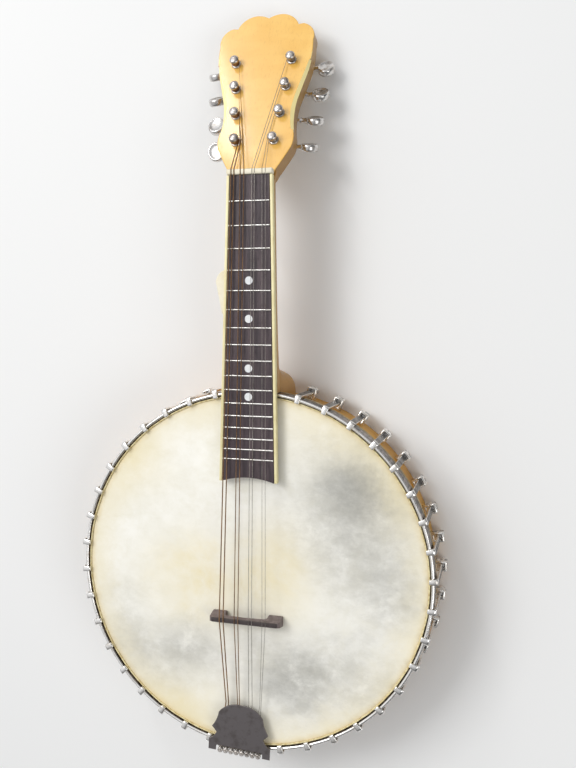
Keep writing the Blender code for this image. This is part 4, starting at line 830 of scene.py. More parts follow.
# %% One hook
def make_hook():
    """A hook at angle 0, with its stud and nut. The second material, a painted dark reflection, is for its
    flat outer face.
    """
    form = bmesh.new()
    half = hook_width / 2
    claw_end = hoop_inside - 1.1 * mm
    shank_bottom = shoe_base + 4.0 * mm
    bend = 1.9 * mm
    cut_in = bend * 0.29
    outer = outline(
        (claw_end + 0.1 * mm, hoop_top - 0.7 * mm),
        (claw_end, claw_top - 1.0 * mm),
        ((claw_end + 0.30 * mm, claw_top - 0.28 * mm), (claw_end + 1.1 * mm, claw_top), 4),
        (shank_outside - bend, claw_top - 0.1 * mm),
        ((shank_outside - cut_in, claw_top - cut_in - 0.1 * mm), (shank_outside, claw_top - bend), 5),
        (shank_outside, shank_bottom),
    )
    inner = outline(
        (shank_inside, shank_bottom),
        (shank_inside, hoop_top - 0.5 * mm),
        ((shank_inside - 0.15 * mm, hoop_top - 0.1 * mm), (shank_inside - 0.5 * mm, hoop_top + 0.02 * mm), 2),
        (claw_end + 1.5 * mm, hoop_top + 0.02 * mm),
        (claw_end + 0.9 * mm, hoop_top - 0.7 * mm),
    )
    band = slab(outer + inner, -half, half)
    bmesh.ops.transform(band, matrix=upright, verts=band.verts)
    for vert in band.verts:
        if vert.co.z > hoop_top - 1.0 * mm:
            toward_tip = max(0.0, 1.0 - (vert.co.x - claw_end) / (shank_inside - claw_end))
            vert.co.y *= 1.0 - 0.20 * min(1.0, 1.4 * toward_tip)
    softened(band, 0.8 * mm, 4, 40.0)
    crown = 0.75 * mm
    for vert in band.verts:
        if vert.co.z > hoop_top + 0.5 * mm:
            vert.co.z -= crown * (vert.co.y / half) ** 2
    # The flat outer face of the shank takes the painted dark reflection.
    for face in band.faces:
        face.normal_update()
        outward = face.normal.x > 0.95
        face.material_index = int(outward and face.calc_center_median().z < hoop_top - 1.0 * mm)
    put(form, band)
    nut_top = shoe_base - clear
    nut_low = nut_top - nut_height
    put(form, pin(1.5 * mm, shank_middle, 0.0, nut_low + 0.4 * mm, shank_bottom + 1.0 * mm, 12))
    put(form, softened(pin(3.4 * mm, shank_middle, 0.0, nut_low, nut_top, 6), 0.5 * mm, 2, 40.0))
    return form


def make_shoe():
    """A shoe at angle 0, with a pocket in its top and the stud's bore below."""
    half = shoe_width / 2
    cup = block((rim_radius - 0.4 * mm, -half, shoe_base), (shoe_outside, half, shoe_top))
    pocket = block(
        (rim_radius + shoe_sheet, -half + shoe_sheet, shoe_top - 1.7 * mm),
        (shoe_outside - shoe_sheet, half - shoe_sheet, shoe_top + 2 * mm),
    )
    bore = pin(1.8 * mm, shank_middle, 0.0, shoe_base - 2 * mm, shoe_top + 2 * mm, 16)
    cup = cut_by(cut_by(softened(cup, 1.0 * mm, 3), softened(pocket, 0.6 * mm, 2)), bore)
    return softened(cup, 0.2 * mm, 1, 60.0)


def hook_angles():
    """Angles round the pot at an even pitch, but for the gaps at the neck and at the tail."""
    half = hook_count // 2
    pitch = (pi - neck_gap / 2 - tail_gap / 2) / (half - 1)
    steps = [neck_gap / 2 + pitch * k for k in range(half)]
    return [pi / 2 - ring_turn - side * step for side in (1, -1) for step in steps]


# %% All of them, round the pot
hooks, shoes = bmesh.new(), bmesh.new()
for angle in hook_angles():
    spin = on_pot @ Matrix.Rotation(angle, 4, "Z")
    put(hooks, make_hook(), spin)
    put(shoes, make_shoe(), spin)
piece("hooks", hooks, hook_nickel, node="tension_hoop", sharp=45.0, coats=(hook_face_painted_dark,))
piece("shoes", shoes, shoe_nickel_painted_streaks, sharp=45.0)
print("hooks:", hook_count)

# %% [markdown]
# ## Dowel stick
# Seen from behind, a wooden stick crosses the pot from the neck to the tail, where the bolt holds it. It
# is a block with softened edges. Its end in the passage under the neck could be left square, but an
# intersection with a turned shape keeps it within the rim's curve.

# %% Dowel stick
in_pot, in_wall = rim_inside - clear, rim_radius - clear
stick_room = spun([
    (0.0, 70 * mm),
    (in_pot, 70 * mm),
    (in_pot, rim_height - 10 * mm),
    (in_wall, rim_height - 10 * mm),
    (in_wall, -over),
    (0.0, -over),
], 96, closed=False)
stick = block((-dowel_half, -in_pot, dowel_low), (dowel_half, rim_radius - 0.6 * mm, dowel_high))
stick = softened(cut_by(stick, stick_room, "INTERSECT"), 1.5 * mm, 3, 40.0)
piece("stick", stick, pale_maple_and_highlight, node="dowel_stick", at=on_pot)

# %% [markdown]
# ## Brace
# A metal block round the stick sits against the rim's inside and steadies the neck. Its outer face
# follows the rim, and the stick passes through it. Both are Boolean cuts, made first, so that one bevel
# can soften all edges alike.

# %% Brace
brace = block((-21 * mm, rim_inside - 9 * mm, 9 * mm), (21 * mm, rim_inside, 43 * mm))
brace_room = spun([(0.0, 60 * mm), (in_pot, 60 * mm), (in_pot, -over), (0.0, -over)], 96, closed=False)
brace = cut_by(brace, brace_room, "INTERSECT")
brace = cut_by(brace, dowel_way(rim_inside - 30 * mm, rim_inside + 30 * mm))
piece("brace", softened(brace, 0.8 * mm, 2, 40.0), nickel, node="neck_brace", at=on_pot)

# %% [markdown]
# ## Shoe screws
# Behind each shoe a slotted screw head shows inside the rim. A slot that is only a dark line would look
# flat from the side, so it is cut into a turned head.

# %% Shoe screws
screws = bmesh.new()
dome = [(0.0, 1.3), (1.6, 1.0), (2.6, 0.1), (2.6, -0.3), (0.0, -0.3)]
stand = Matrix.Translation((rim_inside, 0.0, shoe_base + shoe_height / 2)) @ Matrix.Rotation(-pi / 2, 4, "Y")
for angle in hook_angles():
    screw = slotted_screw(dome, 16, 0.35 * mm, 0.7 * mm)
    put(screws, screw, on_pot @ Matrix.Rotation(angle, 4, "Z") @ stand)
piece("shoe_screws", screws, nickel)

# %% [markdown]
# ## The neck
# The neck's back is a row of half round sections. Sculpting could find the same form, but sections keep
# each width and depth a number. Bridging them gives one smooth skin, which sinks into the headstock's
# thickness at one end.

# %% Neck
def board_half(run):
    """Half the neck's width at a distance from the nut."""
    return half_at_nut + (half_at_end - half_at_nut) * run / board_length


def half_round(half, depth, squareness, steps=28):
    """The lower half of an oval, nearer to a box where the squareness is larger."""
    points = []
    for i in range(steps + 1):
        angle = pi * i / steps
        across = copysign(abs(cos(angle)) ** (2 / squareness), cos(angle))
        points.append((half * across, -depth * max(sin(angle), 0.0) ** (2 / squareness)))
    return points


def eased(stations, steps):
    """More stations between the given ones, on smooth curves through them."""
    rows = []
    for i in range(len(stations) - 1):
        a, b = stations[max(i - 1, 0)], stations[i]
        c, d = stations[i + 1], stations[min(i + 2, len(stations) - 1)]
        for k in range(steps):
            t = k / steps
            rows.append(tuple(
                0.5 * (2 * q + (r - p) * t + (2 * p - 5 * q + 4 * r - s) * t * t
                       + (3 * q - p - 3 * r + s) * t ** 3)
                for p, q, r, s in zip(a, b, c, d)
            ))
    return rows + [stations[-1]]


rim_face = nut_to_pot - rim_radius
neck_depth = 15.0 * mm
level_stations = eased([
    (rim_face + 6 * mm, neck_depth + 9.0 * mm, 2.6),
    (rim_face - 25 * mm, 20.0 * mm, 2.5),
    (rim_face - 45 * mm, neck_depth + 2.0 * mm, 2.4),
    (rim_face * 0.45, neck_depth + 0.5 * mm, 2.3),
    (4.0 * mm, neck_depth, 2.4),
], 6)
sections = []
for run, depth, squareness in level_stations:
    ring_points = half_round(board_half(run), depth, squareness)
    sections.append([(x, nut_y - run, neck_top + z) for x, z in ring_points])
tilted_stations = eased([
    (6.0 * mm, half_at_nut + 1.4 * mm, head_thick + 3.0 * mm, 3.0),
    (12.0 * mm, half_at_nut + 1.6 * mm, head_thick + 2.6 * mm, 2.8),
    (20.0 * mm, half_at_nut - 0.6 * mm, head_thick + 1.4 * mm, 2.4),
    (34.0 * mm, half_at_nut * 0.6, head_thick - 0.6 * mm, 2.2),
], 4)
sink = 1.0 * mm
for along, half, depth, squareness in tilted_stations:
    ring_points = half_round(half, depth - sink, squareness)
    sections.append([on_head @ Vector((x, along, z - sink)) for x, z in ring_points])
shaft = lofted(sections)

# %% [markdown]
# ## The heel
# The heel is the deep end of the neck, against the pot. The neck's own sections stand upright and can't
# turn that corner well, so the heel has level ones, and a Boolean joins the two. A turned cutter then
# fits both to the rim and to the skin's fold and hoop above it.

# %% Heel, joined to the neck
heel_low, heel_half, heel_reach = 12.0 * mm, 23.8 * mm, 19.0 * mm
heel_rise = neck_top - neck_depth - heel_low
heel_sections = []
for share, width, reach in eased([
    (0.00, 0.80, 0.70),
    (0.06, 0.94, 0.88),
    (0.25, 1.00, 1.00),
    (0.50, 0.98, 1.08),
    (0.72, 0.92, 1.32),
    (0.88, 0.86, 1.75),
    (1.00, 0.80, 2.40),
    (1.12, 0.76, 3.10),
], 4):
    ring_points = half_round(heel_half * width, heel_reach * reach, 2.8 - 0.8 * share, 32)
    level = heel_low + heel_rise * share
    points = [(x, nut_y - rim_face - y, level) for x, y in ring_points]
    points += [(side * heel_half * width, nut_y - rim_face - 8 * mm, level) for side in (-1, 1)]
    heel_sections.append(points)
heel = lofted(heel_sections)
pot_way = spun([
    (0.0, neck_top + 20 * mm),
    (flap_outside + 0.4 * mm, neck_top + 20 * mm),
    (flap_outside + 0.4 * mm, fold_low - clear),
    (rim_radius + clear, fold_low - clear),
    (rim_radius + clear, -20 * mm),
    (0.0, -20 * mm),
], 128, closed=False)
bmesh.ops.transform(pot_way, matrix=on_pot, verts=pot_way.verts)
neck_form = cut_by(cut_by(shaft, heel, "UNION"), pot_way)
piece("neck_back", neck_form, neck_maple_painted_shade, node="neck", sharp=42.0)

# %% [markdown]
# ## The headstock
# The headstock's outline is drawn from arcs on one side and mirrored. It is raised to its thickness and
# its edges are softened. A bevel can't make the long chamfers along its waist, because they widen and
# narrow, so slanted wedges cut them.

# %% Headstock
half_outline = mm_points(outline(
    (15.5, -1.0),
    (17.2, 2.0),
    (18.5, 5.0),
    ((23.4, 13.5), (28.0, 22.2), 8),
    ((29.1, 28.0), (28.8, 33.5), 6),
    ((27.3, 47.5), (28.7, 62.0), 14),
    (34.2, 83.0),
    ((36.7, 98.0), (36.7, 111.0), 8),
    ((34.7, 121.5), (28.0, 126.2), 8),
    (24.0, 125.7),
    ((19.5, 132.2), (10.5, 136.0), 10),
    ((5.0, 135.4), (0.0, 133.2), 8),
))
plate = softened(slab(mirrored(half_outline), -head_thick, 0.0), 0.7 * mm, 3, 60.0, keep=is_level)
chamfer_depth, wedge_over = 2.0 * mm, 0.4 * mm
waist = (
    (36.0, 26.6, 28.5),
    (40.0, 25.7, 28.0),
    (47.5, 24.9, 27.4),
    (54.6, 25.0, 27.8),
    (65.0, 26.9, 29.7),
    (76.3, 30.1, 32.6),
    (85.8, 32.8, 34.9),
    (94.0, 35.2, 36.6),
)
for side in (1, -1):
    wedge_sections = []
    for along, inner, outer in eased([tuple(v * mm for v in row) for row in waist], 3):
        slope = chamfer_depth / (outer - inner)
        inner_up, outer_down = inner - wedge_over / slope, outer + 3.0 * mm
        wedge_sections.append([
            (side * inner_up, along, wedge_over),
            (side * outer_down, along, wedge_over),
            (side * outer_down, along, -slope * (outer_down - inner)),
        ])
    plate = cut_by(plate, lofted(wedge_sections))

# %% [markdown]
# ## Post holes and finishes
# The posts stand in two rows that spread away from the nut. Their holes are cut together, which is
# quicker than eight cuts. Three finishes could be painted by hand, but the way that a face leans already
# tells them apart: the varnished front, the paler chamfers with their painted highlight and the sides
# with their painted shade.

# %% Post holes and finishes
post_along, post_pitch, post_half, post_splay = 27.7 * mm, 22.17 * mm, 14.5 * mm, radians(6.2)
post_bore = 2.95 * mm
posts = []
for side, word in ((1, "treble"), (-1, "bass")):
    for k in range(4):
        across = post_half + post_pitch * k * tan(post_splay)
        posts.append((f"{word}_{k + 1}", side, side * across, post_along + post_pitch * k))
holes = bmesh.new()
for _, _, across, along in posts:
    put(holes, pin(post_bore, across, along, -2 * over, over))
plate = cut_by(plate, holes)
plate = cut_by(plate, block((-30 * mm, -30 * mm, -40 * mm), (30 * mm, -0.4 * mm, 20 * mm)))
chamfer_start, chamfer_end = 33 * mm, 99 * mm
# Faces that lean like the chamfers take the pale maple with its painted highlight, and the upright sides take
# the painted shade.
for face in plate.faces:
    face.normal_update()
    lean, up = abs(face.normal.x), face.normal.z
    if 0.3 < lean < 0.85 and up > 0.3 and chamfer_start < face.calc_center_median().y < chamfer_end:
        face.material_index = 1
    elif abs(up) < 0.3:
        face.material_index = 2
bmesh.ops.transform(plate, matrix=on_head, verts=plate.verts)
seat = block((-50 * mm, nut_y - 50 * mm, neck_top), (50 * mm, nut_y + nut_length + clear, neck_top + 20 * mm))
plate = cut_by(plate, seat)
piece("headstock", plate, maple, sharp=18.0, coats=(pale_maple_and_highlight, side_maple_painted_shade))

# %% [markdown]
# ## Fingerboard
# The board is a tapered slab of rosewood with a hollow end. A scaled cube could taper too, but an outline
# raised to its thickness also gives the hollow, as one arc.

# %% Board
inset = binding + clear
near, far = board_half(0.0) - inset, board_half(board_length) - inset
board_outline = outline(
    (near, 0.0),
    (-near, 0.0),
    (-far, -board_length),
    ((0.0, -board_length + board_hollow), (far, -board_length), 24),
)
board = softened(slab(board_outline, board_under, board_top), 0.25 * mm, 2, 60.0)
piece("board", board, rosewood, node="fingerboard", at=on_nut, sharp=20.0)


# %% [markdown]
# ## Frets and dots
# Each fret is a crowned wire across the board, at the distance that the twelfth root of two gives. Half a
# cylinder would do from afar, but the real wire has a flatter crown and straight sides, so its section is
# drawn and raised across the board. Four round dots of pearl lie almost flush with the wood.

# %% Frets and dots
def fret_run(number):
    """The distance of a fret from the nut."""
    return scale_length * (1.0 - 2.0 ** (-number / 12.0))


frets = bmesh.new()
half_crown = [(0.15, 0.82), (0.42, 0.62), (0.58, 0.25), (0.58, -0.4)]
crown = mm_points([(-x, z) for x, z in reversed(half_crown)] + half_crown)
for number in range(1, 18):
    run = fret_run(number)
    half = board_half(run) - inset - 0.2 * mm
    stand = Matrix.Translation((0.0, -run, board_top)) @ Matrix.Rotation(pi / 2, 4, "Z") @ upright
    put(frets, slab(crown, -half, half), on_nut @ stand)
piece("frets", frets, fret_nickel)
for number in (5, 7, 10, 12):
    run = (fret_run(number) + fret_run(number - 1)) / 2
    dot = pin(3.0 * mm, 0.0, -run, board_top - 0.8 * mm, board_top + 0.03 * mm, 32)
    softened(dot, 0.08 * mm, 1)
    piece(f"marker_{number}", dot, pearl, node=f"dot_{number}", at=on_nut)

# %% [markdown]
# ## Binding
# A cream strip runs along each side of the board. It could be a finish on the board's own edge, but it
# stands a little apart from the wood and has softened edges, so each strip is a slab of its own.

# %% Binding
near, far = board_half(0.0), board_half(board_length)
for name, side in (("binding_bass", -1), ("binding_treble", 1)):
    strip = slab([
        (side * (near - binding), 0.0),
        (side * near, 0.0),
        (side * far, -board_length),
        (side * (far - binding), -board_length),
    ], board_under, board_top)
    softened(strip, 0.35 * mm, 3, 60.0)
    piece(name + "_strip", strip, celluloid, node=name, at=on_nut, sharp=20.0)

# %% [markdown]
# ## Nut
# The nut is a small bar of bone that keeps the strings at their places. Strings could simply sink into
# it, but its notches show from the front, so they are cut.

# %% Nut
nut_top = board_top + nut_rise
nut_form = block((-half_at_nut, clear, board_under), (half_at_nut, nut_length, nut_top))
strings_at_nut = mm_lengths(-13.5, -11.2, -6.5, -3.7, 2.3, 4.2, 9.9, 12.3)
softened(nut_form, 0.9 * mm, 3)
nut_form = notched(nut_form, strings_at_nut, 0.35 * mm, 6 * mm, nut_top - 0.5 * mm, board_top + 3 * mm)
piece("nut_bone", nut_form, bone, node="nut", at=on_nut)

# %% [markdown]
# ## Side ear
# A pale ear stands out on the bass side of the neck, highest towards the nut and running out in a long
# slope. Its points are shares of its reach and length, so its size can change and its form stays.

# %% Side ear
pip_start, pip_length, pip_reach = -66.0 * mm, 37.0 * mm, 7.8 * mm
pip_seat = -(board_half(-pip_start + pip_length / 2) + 2 * clear)


def pip_point(out, along):
    """A point of the side ear, by its shares of the ear's reach and length."""
    return pip_seat - pip_reach * out, pip_start - pip_length * along


ear_outline = outline(
    pip_point(0.0, 0.0),
    pip_point(0.30, 0.05),
    (pip_point(0.80, 0.14), pip_point(1.0, 0.27), 8),
    pip_point(0.38, 0.89),
    pip_point(0.0, 1.0),
)
ear = softened(slab(ear_outline, neck_top - 4.3 * mm, neck_top - 0.8 * mm), 0.7 * mm, 3, 30.0)
piece("side_ear", ear, bone, node="side_pip", at=on_nut)
print("fingerboard length", board_length)

# %% [markdown]
# ## Bridge
# The bridge is a dark bar with a foot at each end and an arch between. It is a slab first. Moving its
# upper points together could taper it, but the lowest part of the feet is straight, so it is cut to a
# wedge. Fine notches hold the strings.

# %% Bridge
bridge_y, bridge_shift = -328.5 * mm, -1.8 * mm
strings_at_bridge = mm_lengths(-20.6, -17.6, -8.9, -6.0, 2.1, 4.7, 12.8, 15.3)
outside = [(27.5, 0.0), (27.5, 9.6), (25.0, 12.1), (-25.0, 12.1), (-27.5, 9.6), (-27.5, 0.0)]
arch = outline(
    (-16.5, 0.0),
    (-16.5, 4.4),
    ((-15.7, 6.1), (-13.0, 6.9), 4),
    ((0.0, 7.5), (13.0, 6.9), 8),
    ((15.7, 6.1), (16.5, 4.4), 4),
    (16.5, 0.0),
)
bar = slab(mm_points(outside + arch), -3.8 * mm, 3.8 * mm)
bmesh.ops.transform(bar, matrix=upright, verts=bar.verts)
taper = mm_points([(-3.8, -1.0), (3.8, -1.0), (3.8, 2.0), (1.5, 12.2), (-1.5, 12.2), (-3.8, 2.0)])
wedge = lofted([[(x, y, z) for y, z in taper] for x in (-40 * mm, 40 * mm)])
bar = softened(cut_by(bar, wedge, "INTERSECT"), 0.4 * mm, 2, 30.0)
notches = [x - bridge_shift for x in strings_at_bridge]
bar = notched(bar, notches, 0.3 * mm, 5 * mm, bridge_height - 0.35 * mm, bridge_height + 2 * mm)
on_bridge = on_nut @ Matrix.Translation((bridge_shift, bridge_y, head_top + clear))
piece("bridge_bar", bar, bridge_wood_and_top_shade, node="bridge", at=on_bridge, sharp=20.0)

# %% [markdown]
# ## Tailpiece cover
# A pressed cover with a rounded front and flared tips hides the strings' loops, whose ends poke out along
# its lower edge. Its halves match, so arcs drawn on one side are mirrored. Freehand points would never
# match as well. Two small feet stand on the bracket.

# %% Cover
sheet = 1.2 * mm
leg_inside = flap_outside + 0.6 * mm
leg_outside = leg_inside + sheet
bracket_low = hoop_top + clear
bracket_high = bracket_low + sheet
cover_low, cover_sheet = bracket_high + 2.0 * mm, 1.0 * mm
cover_front, cover_back, cover_half = -102.0 * mm, -140.5 * mm, 24.5 * mm


def cover_point(across, back):
    """A point of the cover, by its shares of the half width and of the way back."""
    return cover_half * across, cover_front - (cover_front - cover_back) * back


right = outline(
    cover_point(0.0, 0.0),
    (cover_point(0.42, 0.047), cover_point(0.72, 0.208), 10),
    (cover_point(0.80, 0.390), cover_point(0.92, 0.519), 8),
    cover_point(0.76, 0.623),
    (cover_point(0.84, 0.706), cover_point(1.0, 0.779), 6),
    (cover_half, cover_back),
    (cover_half - 6.0 * mm, cover_back),
    (cover_half - 6.0 * mm, cover_back + 3.0 * mm),
    ((cover_half - 6.4 * mm, cover_back + 3.9 * mm), (cover_half - 7.2 * mm, cover_back + 4.2 * mm), 3),
)
cover = slab(mirrored(right), cover_low, cover_low + cover_sheet)
softened(cover, 0.3 * mm, 2, 60.0, keep=is_level)
for side in (-1, 1):
    x = side * 16.9 * mm
    foot = block(
        (x - 0.8 * mm, cover_back + 4.5 * mm, bracket_high + clear),
        (x + 0.8 * mm, cover_back + 10.5 * mm, cover_low + 0.5 * mm),
    )
    put(cover, softened(foot, 0.3 * mm, 1))
piece("cover", cover, dark_dull_nickel, node="tail_cover", at=on_tail, sharp=25.0)

# %% [markdown]
# ## Bracket and prongs
# A flat bracket lies over the hoop and turns down outside it, held by the tail bolt. Eight prongs along
# its back edge take the strings. One sheet could be bent at the corner, but plate and leg have different
# outlines, so they are two slabs that meet there.

# %% Bracket and prongs
half = 18.0 * mm
bracket_outline = mirrored(outline(
    (half - 1.0 * mm, -leg_outside),
    (half, -leg_outside + 1.0 * mm),
    (half, -118 * mm),
    ((half - 1.8 * mm, -113.8 * mm), (half - 6 * mm, -112 * mm), 6),
))
form = softened(slab(bracket_outline, bracket_low, bracket_high), 0.3 * mm, 2, 60.0)
bolt_height = 26 * mm
leg_outline = mm_points([(-8, 60.2), (-8, 26), (-4, 18), (4, 18), (8, 26), (8, 60.2)])
leg = cut_by(slab(leg_outline, -sheet / 2, sheet / 2), pin(2.8 * mm, 0.0, bolt_height, -5 * mm, 5 * mm))
stand = Matrix.Translation((0.0, -(leg_inside + leg_outside) / 2, 0.0)) @ upright
put(form, softened(leg, 0.25 * mm, 1, 60.0), stand)
prong_out = leg_outside - 0.7 * mm
loop_out = prong_out + 1.2 * mm
prongs = [(k - 3.5) * 4.3 * mm for k in range(8)]
for x in prongs:
    root, tip = (x, 1.0 * mm - prong_out, bracket_high), (x, -loop_out, bracket_high + 0.9 * mm)
    put(form, rod(0.6 * mm, root, tip, 10))
    prong = pin(0.6 * mm, x, -loop_out, bracket_high + 0.4 * mm, bracket_high + 4.0 * mm, 12)
    put(form, softened(prong, 0.2 * mm, 2, 60.0))
piece("bracket", form, bracket_nickel, node="tail_bracket", at=on_tail, sharp=25.0)

# %% [markdown]
# ## Loops
# Each string ends in a loop over its prong, with a short twist that leads in under the cover. A curve
# round the prong would be truer, but two rings and a rod look the same at this size.

# %% Loops
loops = bmesh.new()
for k, x in enumerate(prongs):
    wire_radius = (0.88 - 0.015 * k) * mm
    for turn_number in range(2):
        level = bracket_high + clear + wire_radius * (1 + 1.9 * turn_number)
        eye = spun(round_profile(wire_radius, (1.20 * mm, level), 10), steps=24)
        put(loops, eye, on_tail @ Matrix.Translation((x, -loop_out, 0.0)))
    twist_radius = 0.62 * mm
    level = bracket_high + clear + twist_radius
    twist = rod(twist_radius, (x, 1.6 * mm - loop_out, level), (x, 7.0 * mm - loop_out, level), 12)
    put(loops, softened(twist, 0.2 * mm, 2, 60.0), on_tail)
piece("string_loops", loops, bracket_nickel)

# %% [markdown]
# ## Tail bolt
# The bolt goes through the bracket's leg, a spacer and the rim into the dowel stick. Separate cylinders
# would leave faces inside one another, so shank, spacer and head are one turned section.

# %% Tail bolt
bolt_radius, spacer_radius, head_radius = 2.5 * mm, 5.0 * mm, 4.5 * mm
bolt_tip, spacer_near, spacer_far = -106 * mm, -133.5 * mm, clear - leg_inside
bolt_head = -leg_outside - clear
bolt = spun([
    (0.0, bolt_tip),
    (bolt_radius, bolt_tip),
    (bolt_radius, spacer_near),
    (spacer_radius, spacer_near),
    (spacer_radius, spacer_far),
    (bolt_radius, spacer_far),
    (bolt_radius, bolt_head),
    (head_radius, bolt_head),
    (head_radius, -leg_outside - 2.4 * mm),
    (3.4 * mm, -leg_outside - 3.5 * mm),
    (1.6 * mm, -leg_outside - 3.9 * mm),
    (0.0, -leg_outside - 3.9 * mm),
], 32, closed=False)
bolt_way = on_tail @ Matrix.Translation((0.0, 0.0, bolt_height)) @ Matrix.Rotation(-pi / 2, 4, "X")
piece("bolt", bolt, nickel, node="tail_bolt", at=bolt_way)

# %% [markdown]
# ## Tuners
# Each post is a capstan with a worm wheel under the headstock, and a ferrule surrounds it at the face. A
# plain disc would pass for the wheel from the front, but the back is seen too, so it has real teeth.
# Posts and keys ride on bodies of their own.

# %% Sizes of the tuners
teeth, gear_radius, worm_radius, worm_depth = 14, 4.55 * mm, 1.95 * mm, 19.0 * mm
apart = gear_radius + worm_radius


def on_post(side, across, along):
    """A post's place on the headstock, turned along its row."""
    return on_head @ Matrix.Translation((across, along, 0.0)) @ Matrix.Rotation(-side * post_splay, 4, "Z")


# %% Wheel and post
tooth = ((-0.30, 3.95), (-0.16, 4.3), (-0.07, 4.85), (0.07, 4.85), (0.16, 4.3), (0.30, 3.95))
post_waist, post_widest = {-1: 2.5 * mm, 1: 2.9 * mm}, 3.65 * mm
collar_profile = [(2.75, 0.3), (2.75, 1.05), (2.95, 1.2), (3.3, 1.1), (3.65, 0.75), (3.8, 0.3)]


def make_wheel():
    """The worm wheel, one outline with all its teeth."""
    points = []
    for k in range(teeth):
        middle = pi / 2 + tau / teeth * (k + 0.5)
        for turn_share, radius in tooth:
            angle = middle + tau / teeth * turn_share
            points.append((radius * mm * cos(angle), radius * mm * sin(angle)))
    return softened(slab(points, -worm_depth - 1.2 * mm, -worm_depth + 1.2 * mm), 0.12 * mm, 1, 60.0)


def post_profile(waist):
    """A post as (radius, height), from its domed head down to its foot behind the wheel."""
    dome = [(0.0, 7.5), (1.1, 7.45), (2.0, 7.28), (2.8, 6.92), (3.4, 6.35), (3.65, 5.80)]
    under = [(3.55, 5.35), (3.2, 5.10)]
    foot = [(2.45, 1.65), (2.45, -20.2), (0.0, -20.2)]
    middle = [(waist + 0.1 * mm, 5.0 * mm), (waist, 4.8 * mm), (waist, 1.9 * mm)]
    return mm_points(dome + under) + middle + mm_points(foot)


# %% Posts and ferrules
for name, side, across, along in posts:
    place = on_post(side, across, along)
    form = spun(post_profile(post_waist[side]), 32, closed=False)
    put(form, make_wheel())
    put(form, pin(1.7 * mm, 0.0, 0.0, -20.1 * mm, -21.0 * mm, 20))
    post = f"post_{name}"
    piece(f"capstan_{name}", form, post_nickel, node=post, at=place, body=post)
    collar = spun(mm_points(collar_profile), 32)
    piece(f"collar_{name}", collar, bracket_nickel, node=f"ferrule_{name}", at=place)

# %% [markdown]
# ## Worm thread
# A worm is a screw whose single thread moves the wheel on by one tooth at each turn. A Screw modifier
# could make it, but with blunt ends. Here sections follow the helix and shrink at both ends.

# %% Worm thread
lead = tau * gear_radius / teeth


def make_thread(phase):
    """The worm's single thread, a ridge swept along its helix and fading out at both ends."""
    sections, turns, per_turn = [], 2.4, 20
    count = int(turns * per_turn)
    for i in range(count + 1):
        share = (i / count - 0.5) * turns
        angle, x = phase + tau * share, lead * share
        fade = min(1.0, 4.0 * min(i, count - i) / per_turn)
        root, outer = 1.2 * mm, (1.35 + 0.9 * fade) * mm
        sections.append([
            (x + dx * mm, radius * cos(angle), radius * sin(angle))
            for dx, radius in ((-0.45, root), (-0.10, outer), (0.10, outer), (0.45, root))
        ])
    return lofted(sections)


# %% [markdown]
# ## Keys
# A key is a shaft with its worm, a turned hub and an oval metal button. The button is a turned dish,
# scaled to an oval, which is more even than one shaped by hand. Each is turned to its angle in the
# photograph, as near as that shows.

# %% Keys with their worms and buttons
button_angles = {1: (-54, -48, -30, -23), -1: (-18, 7, 46, 50)}
hub = [(0.0, 9.6), (2.0, 9.6), (2.3, 10.0), (1.9, 11.2), (1.75, 13.2), (2.1, 14.4), (2.2, 15.4), (0.0, 15.8)]
dish = [(0.0, 0.78), (0.50, 0.78), (0.62, 0.82), (0.72, 0.90), (0.80, 0.97)]
lip = [(0.86, 1.0), (0.93, 0.92), (0.98, 0.68), (1.0, 0.36)]
button_profile = dish + lip + [(radius, -height) for radius, height in reversed(dish + lip)]
button_size = Matrix.Diagonal((6.6 * mm, 7.3 * mm, 2.6 * mm, 1.0))
for name, side, across, along in posts:
    angle = radians(button_angles[side][int(name[-1]) - 1])
    form = softened(rod(1.4 * mm, (-6.0 * mm, 0.0, 0.0), (16.0 * mm, 0.0, 0.0), 20), 0.2 * mm, 1, 60.0)
    put(form, make_thread(pi if side > 0 else 0.0))
    put(form, spun(mm_points(hub), 24, closed=False), Matrix.Rotation(pi / 2, 4, "Y"))
    button_place = Matrix.Translation((21.4 * mm, 0.0, 0.0)) @ Matrix.Rotation(angle, 4, "X")
    put(form, spun(button_profile, 48, closed=False), button_place @ button_size)
    place = on_post(side, across, along) @ Matrix.Translation((0.0, apart, -worm_depth))
    if side < 0:
        place = place @ Matrix.Rotation(pi, 4, "Z")
    key = f"key_{name}"
    piece(f"button_{name}", form, button_nickel, node=key, at=place, body=key, sharp=50.0)

# %% [markdown]
# ## Tuner plates
# A long plate on the headstock's back has two lugs for each worm and is held by slotted screws. Real lugs
# are often bent up from the sheet. Small blocks that sink into the plate look the same and need no bend.

# %% Tuner plates
row_pitch = post_pitch / cos(post_splay)
row_length = post_pitch * 3 / cos(post_splay)
low, high, half = -13.5 * mm, -12.3 * mm, 7.0 * mm
start, end = -9.0 * mm, row_length + 14.25 * mm
dome = [(0.0, 1.1), (1.2, 0.9), (2.0, 0.2), (2.0, -0.4), (0.0, -0.4)]
corner, bulge = 3 * mm, 0.9 * mm
strip_outline = outline(
    (-half, start + corner),
    ((-half + bulge, start + bulge), (-half + corner, start), 5),
    (half - corner, start),
    ((half - bulge, start + bulge), (half, start + corner), 5),
    (half, end - corner),
    ((half - bulge, end - bulge), (half - corner, end), 5),
    (-half + corner, end),
    ((-half + bulge, end - bulge), (-half, end - corner), 5),
)


def crosses_lug_end(edge):
    """Whether an edge runs across a lug at its far end."""
    at_end = all(vert.co.z < -21 * mm for vert in edge.verts)
    return at_end and abs(edge.verts[0].co.x - edge.verts[1].co.x) > 0.5 * mm


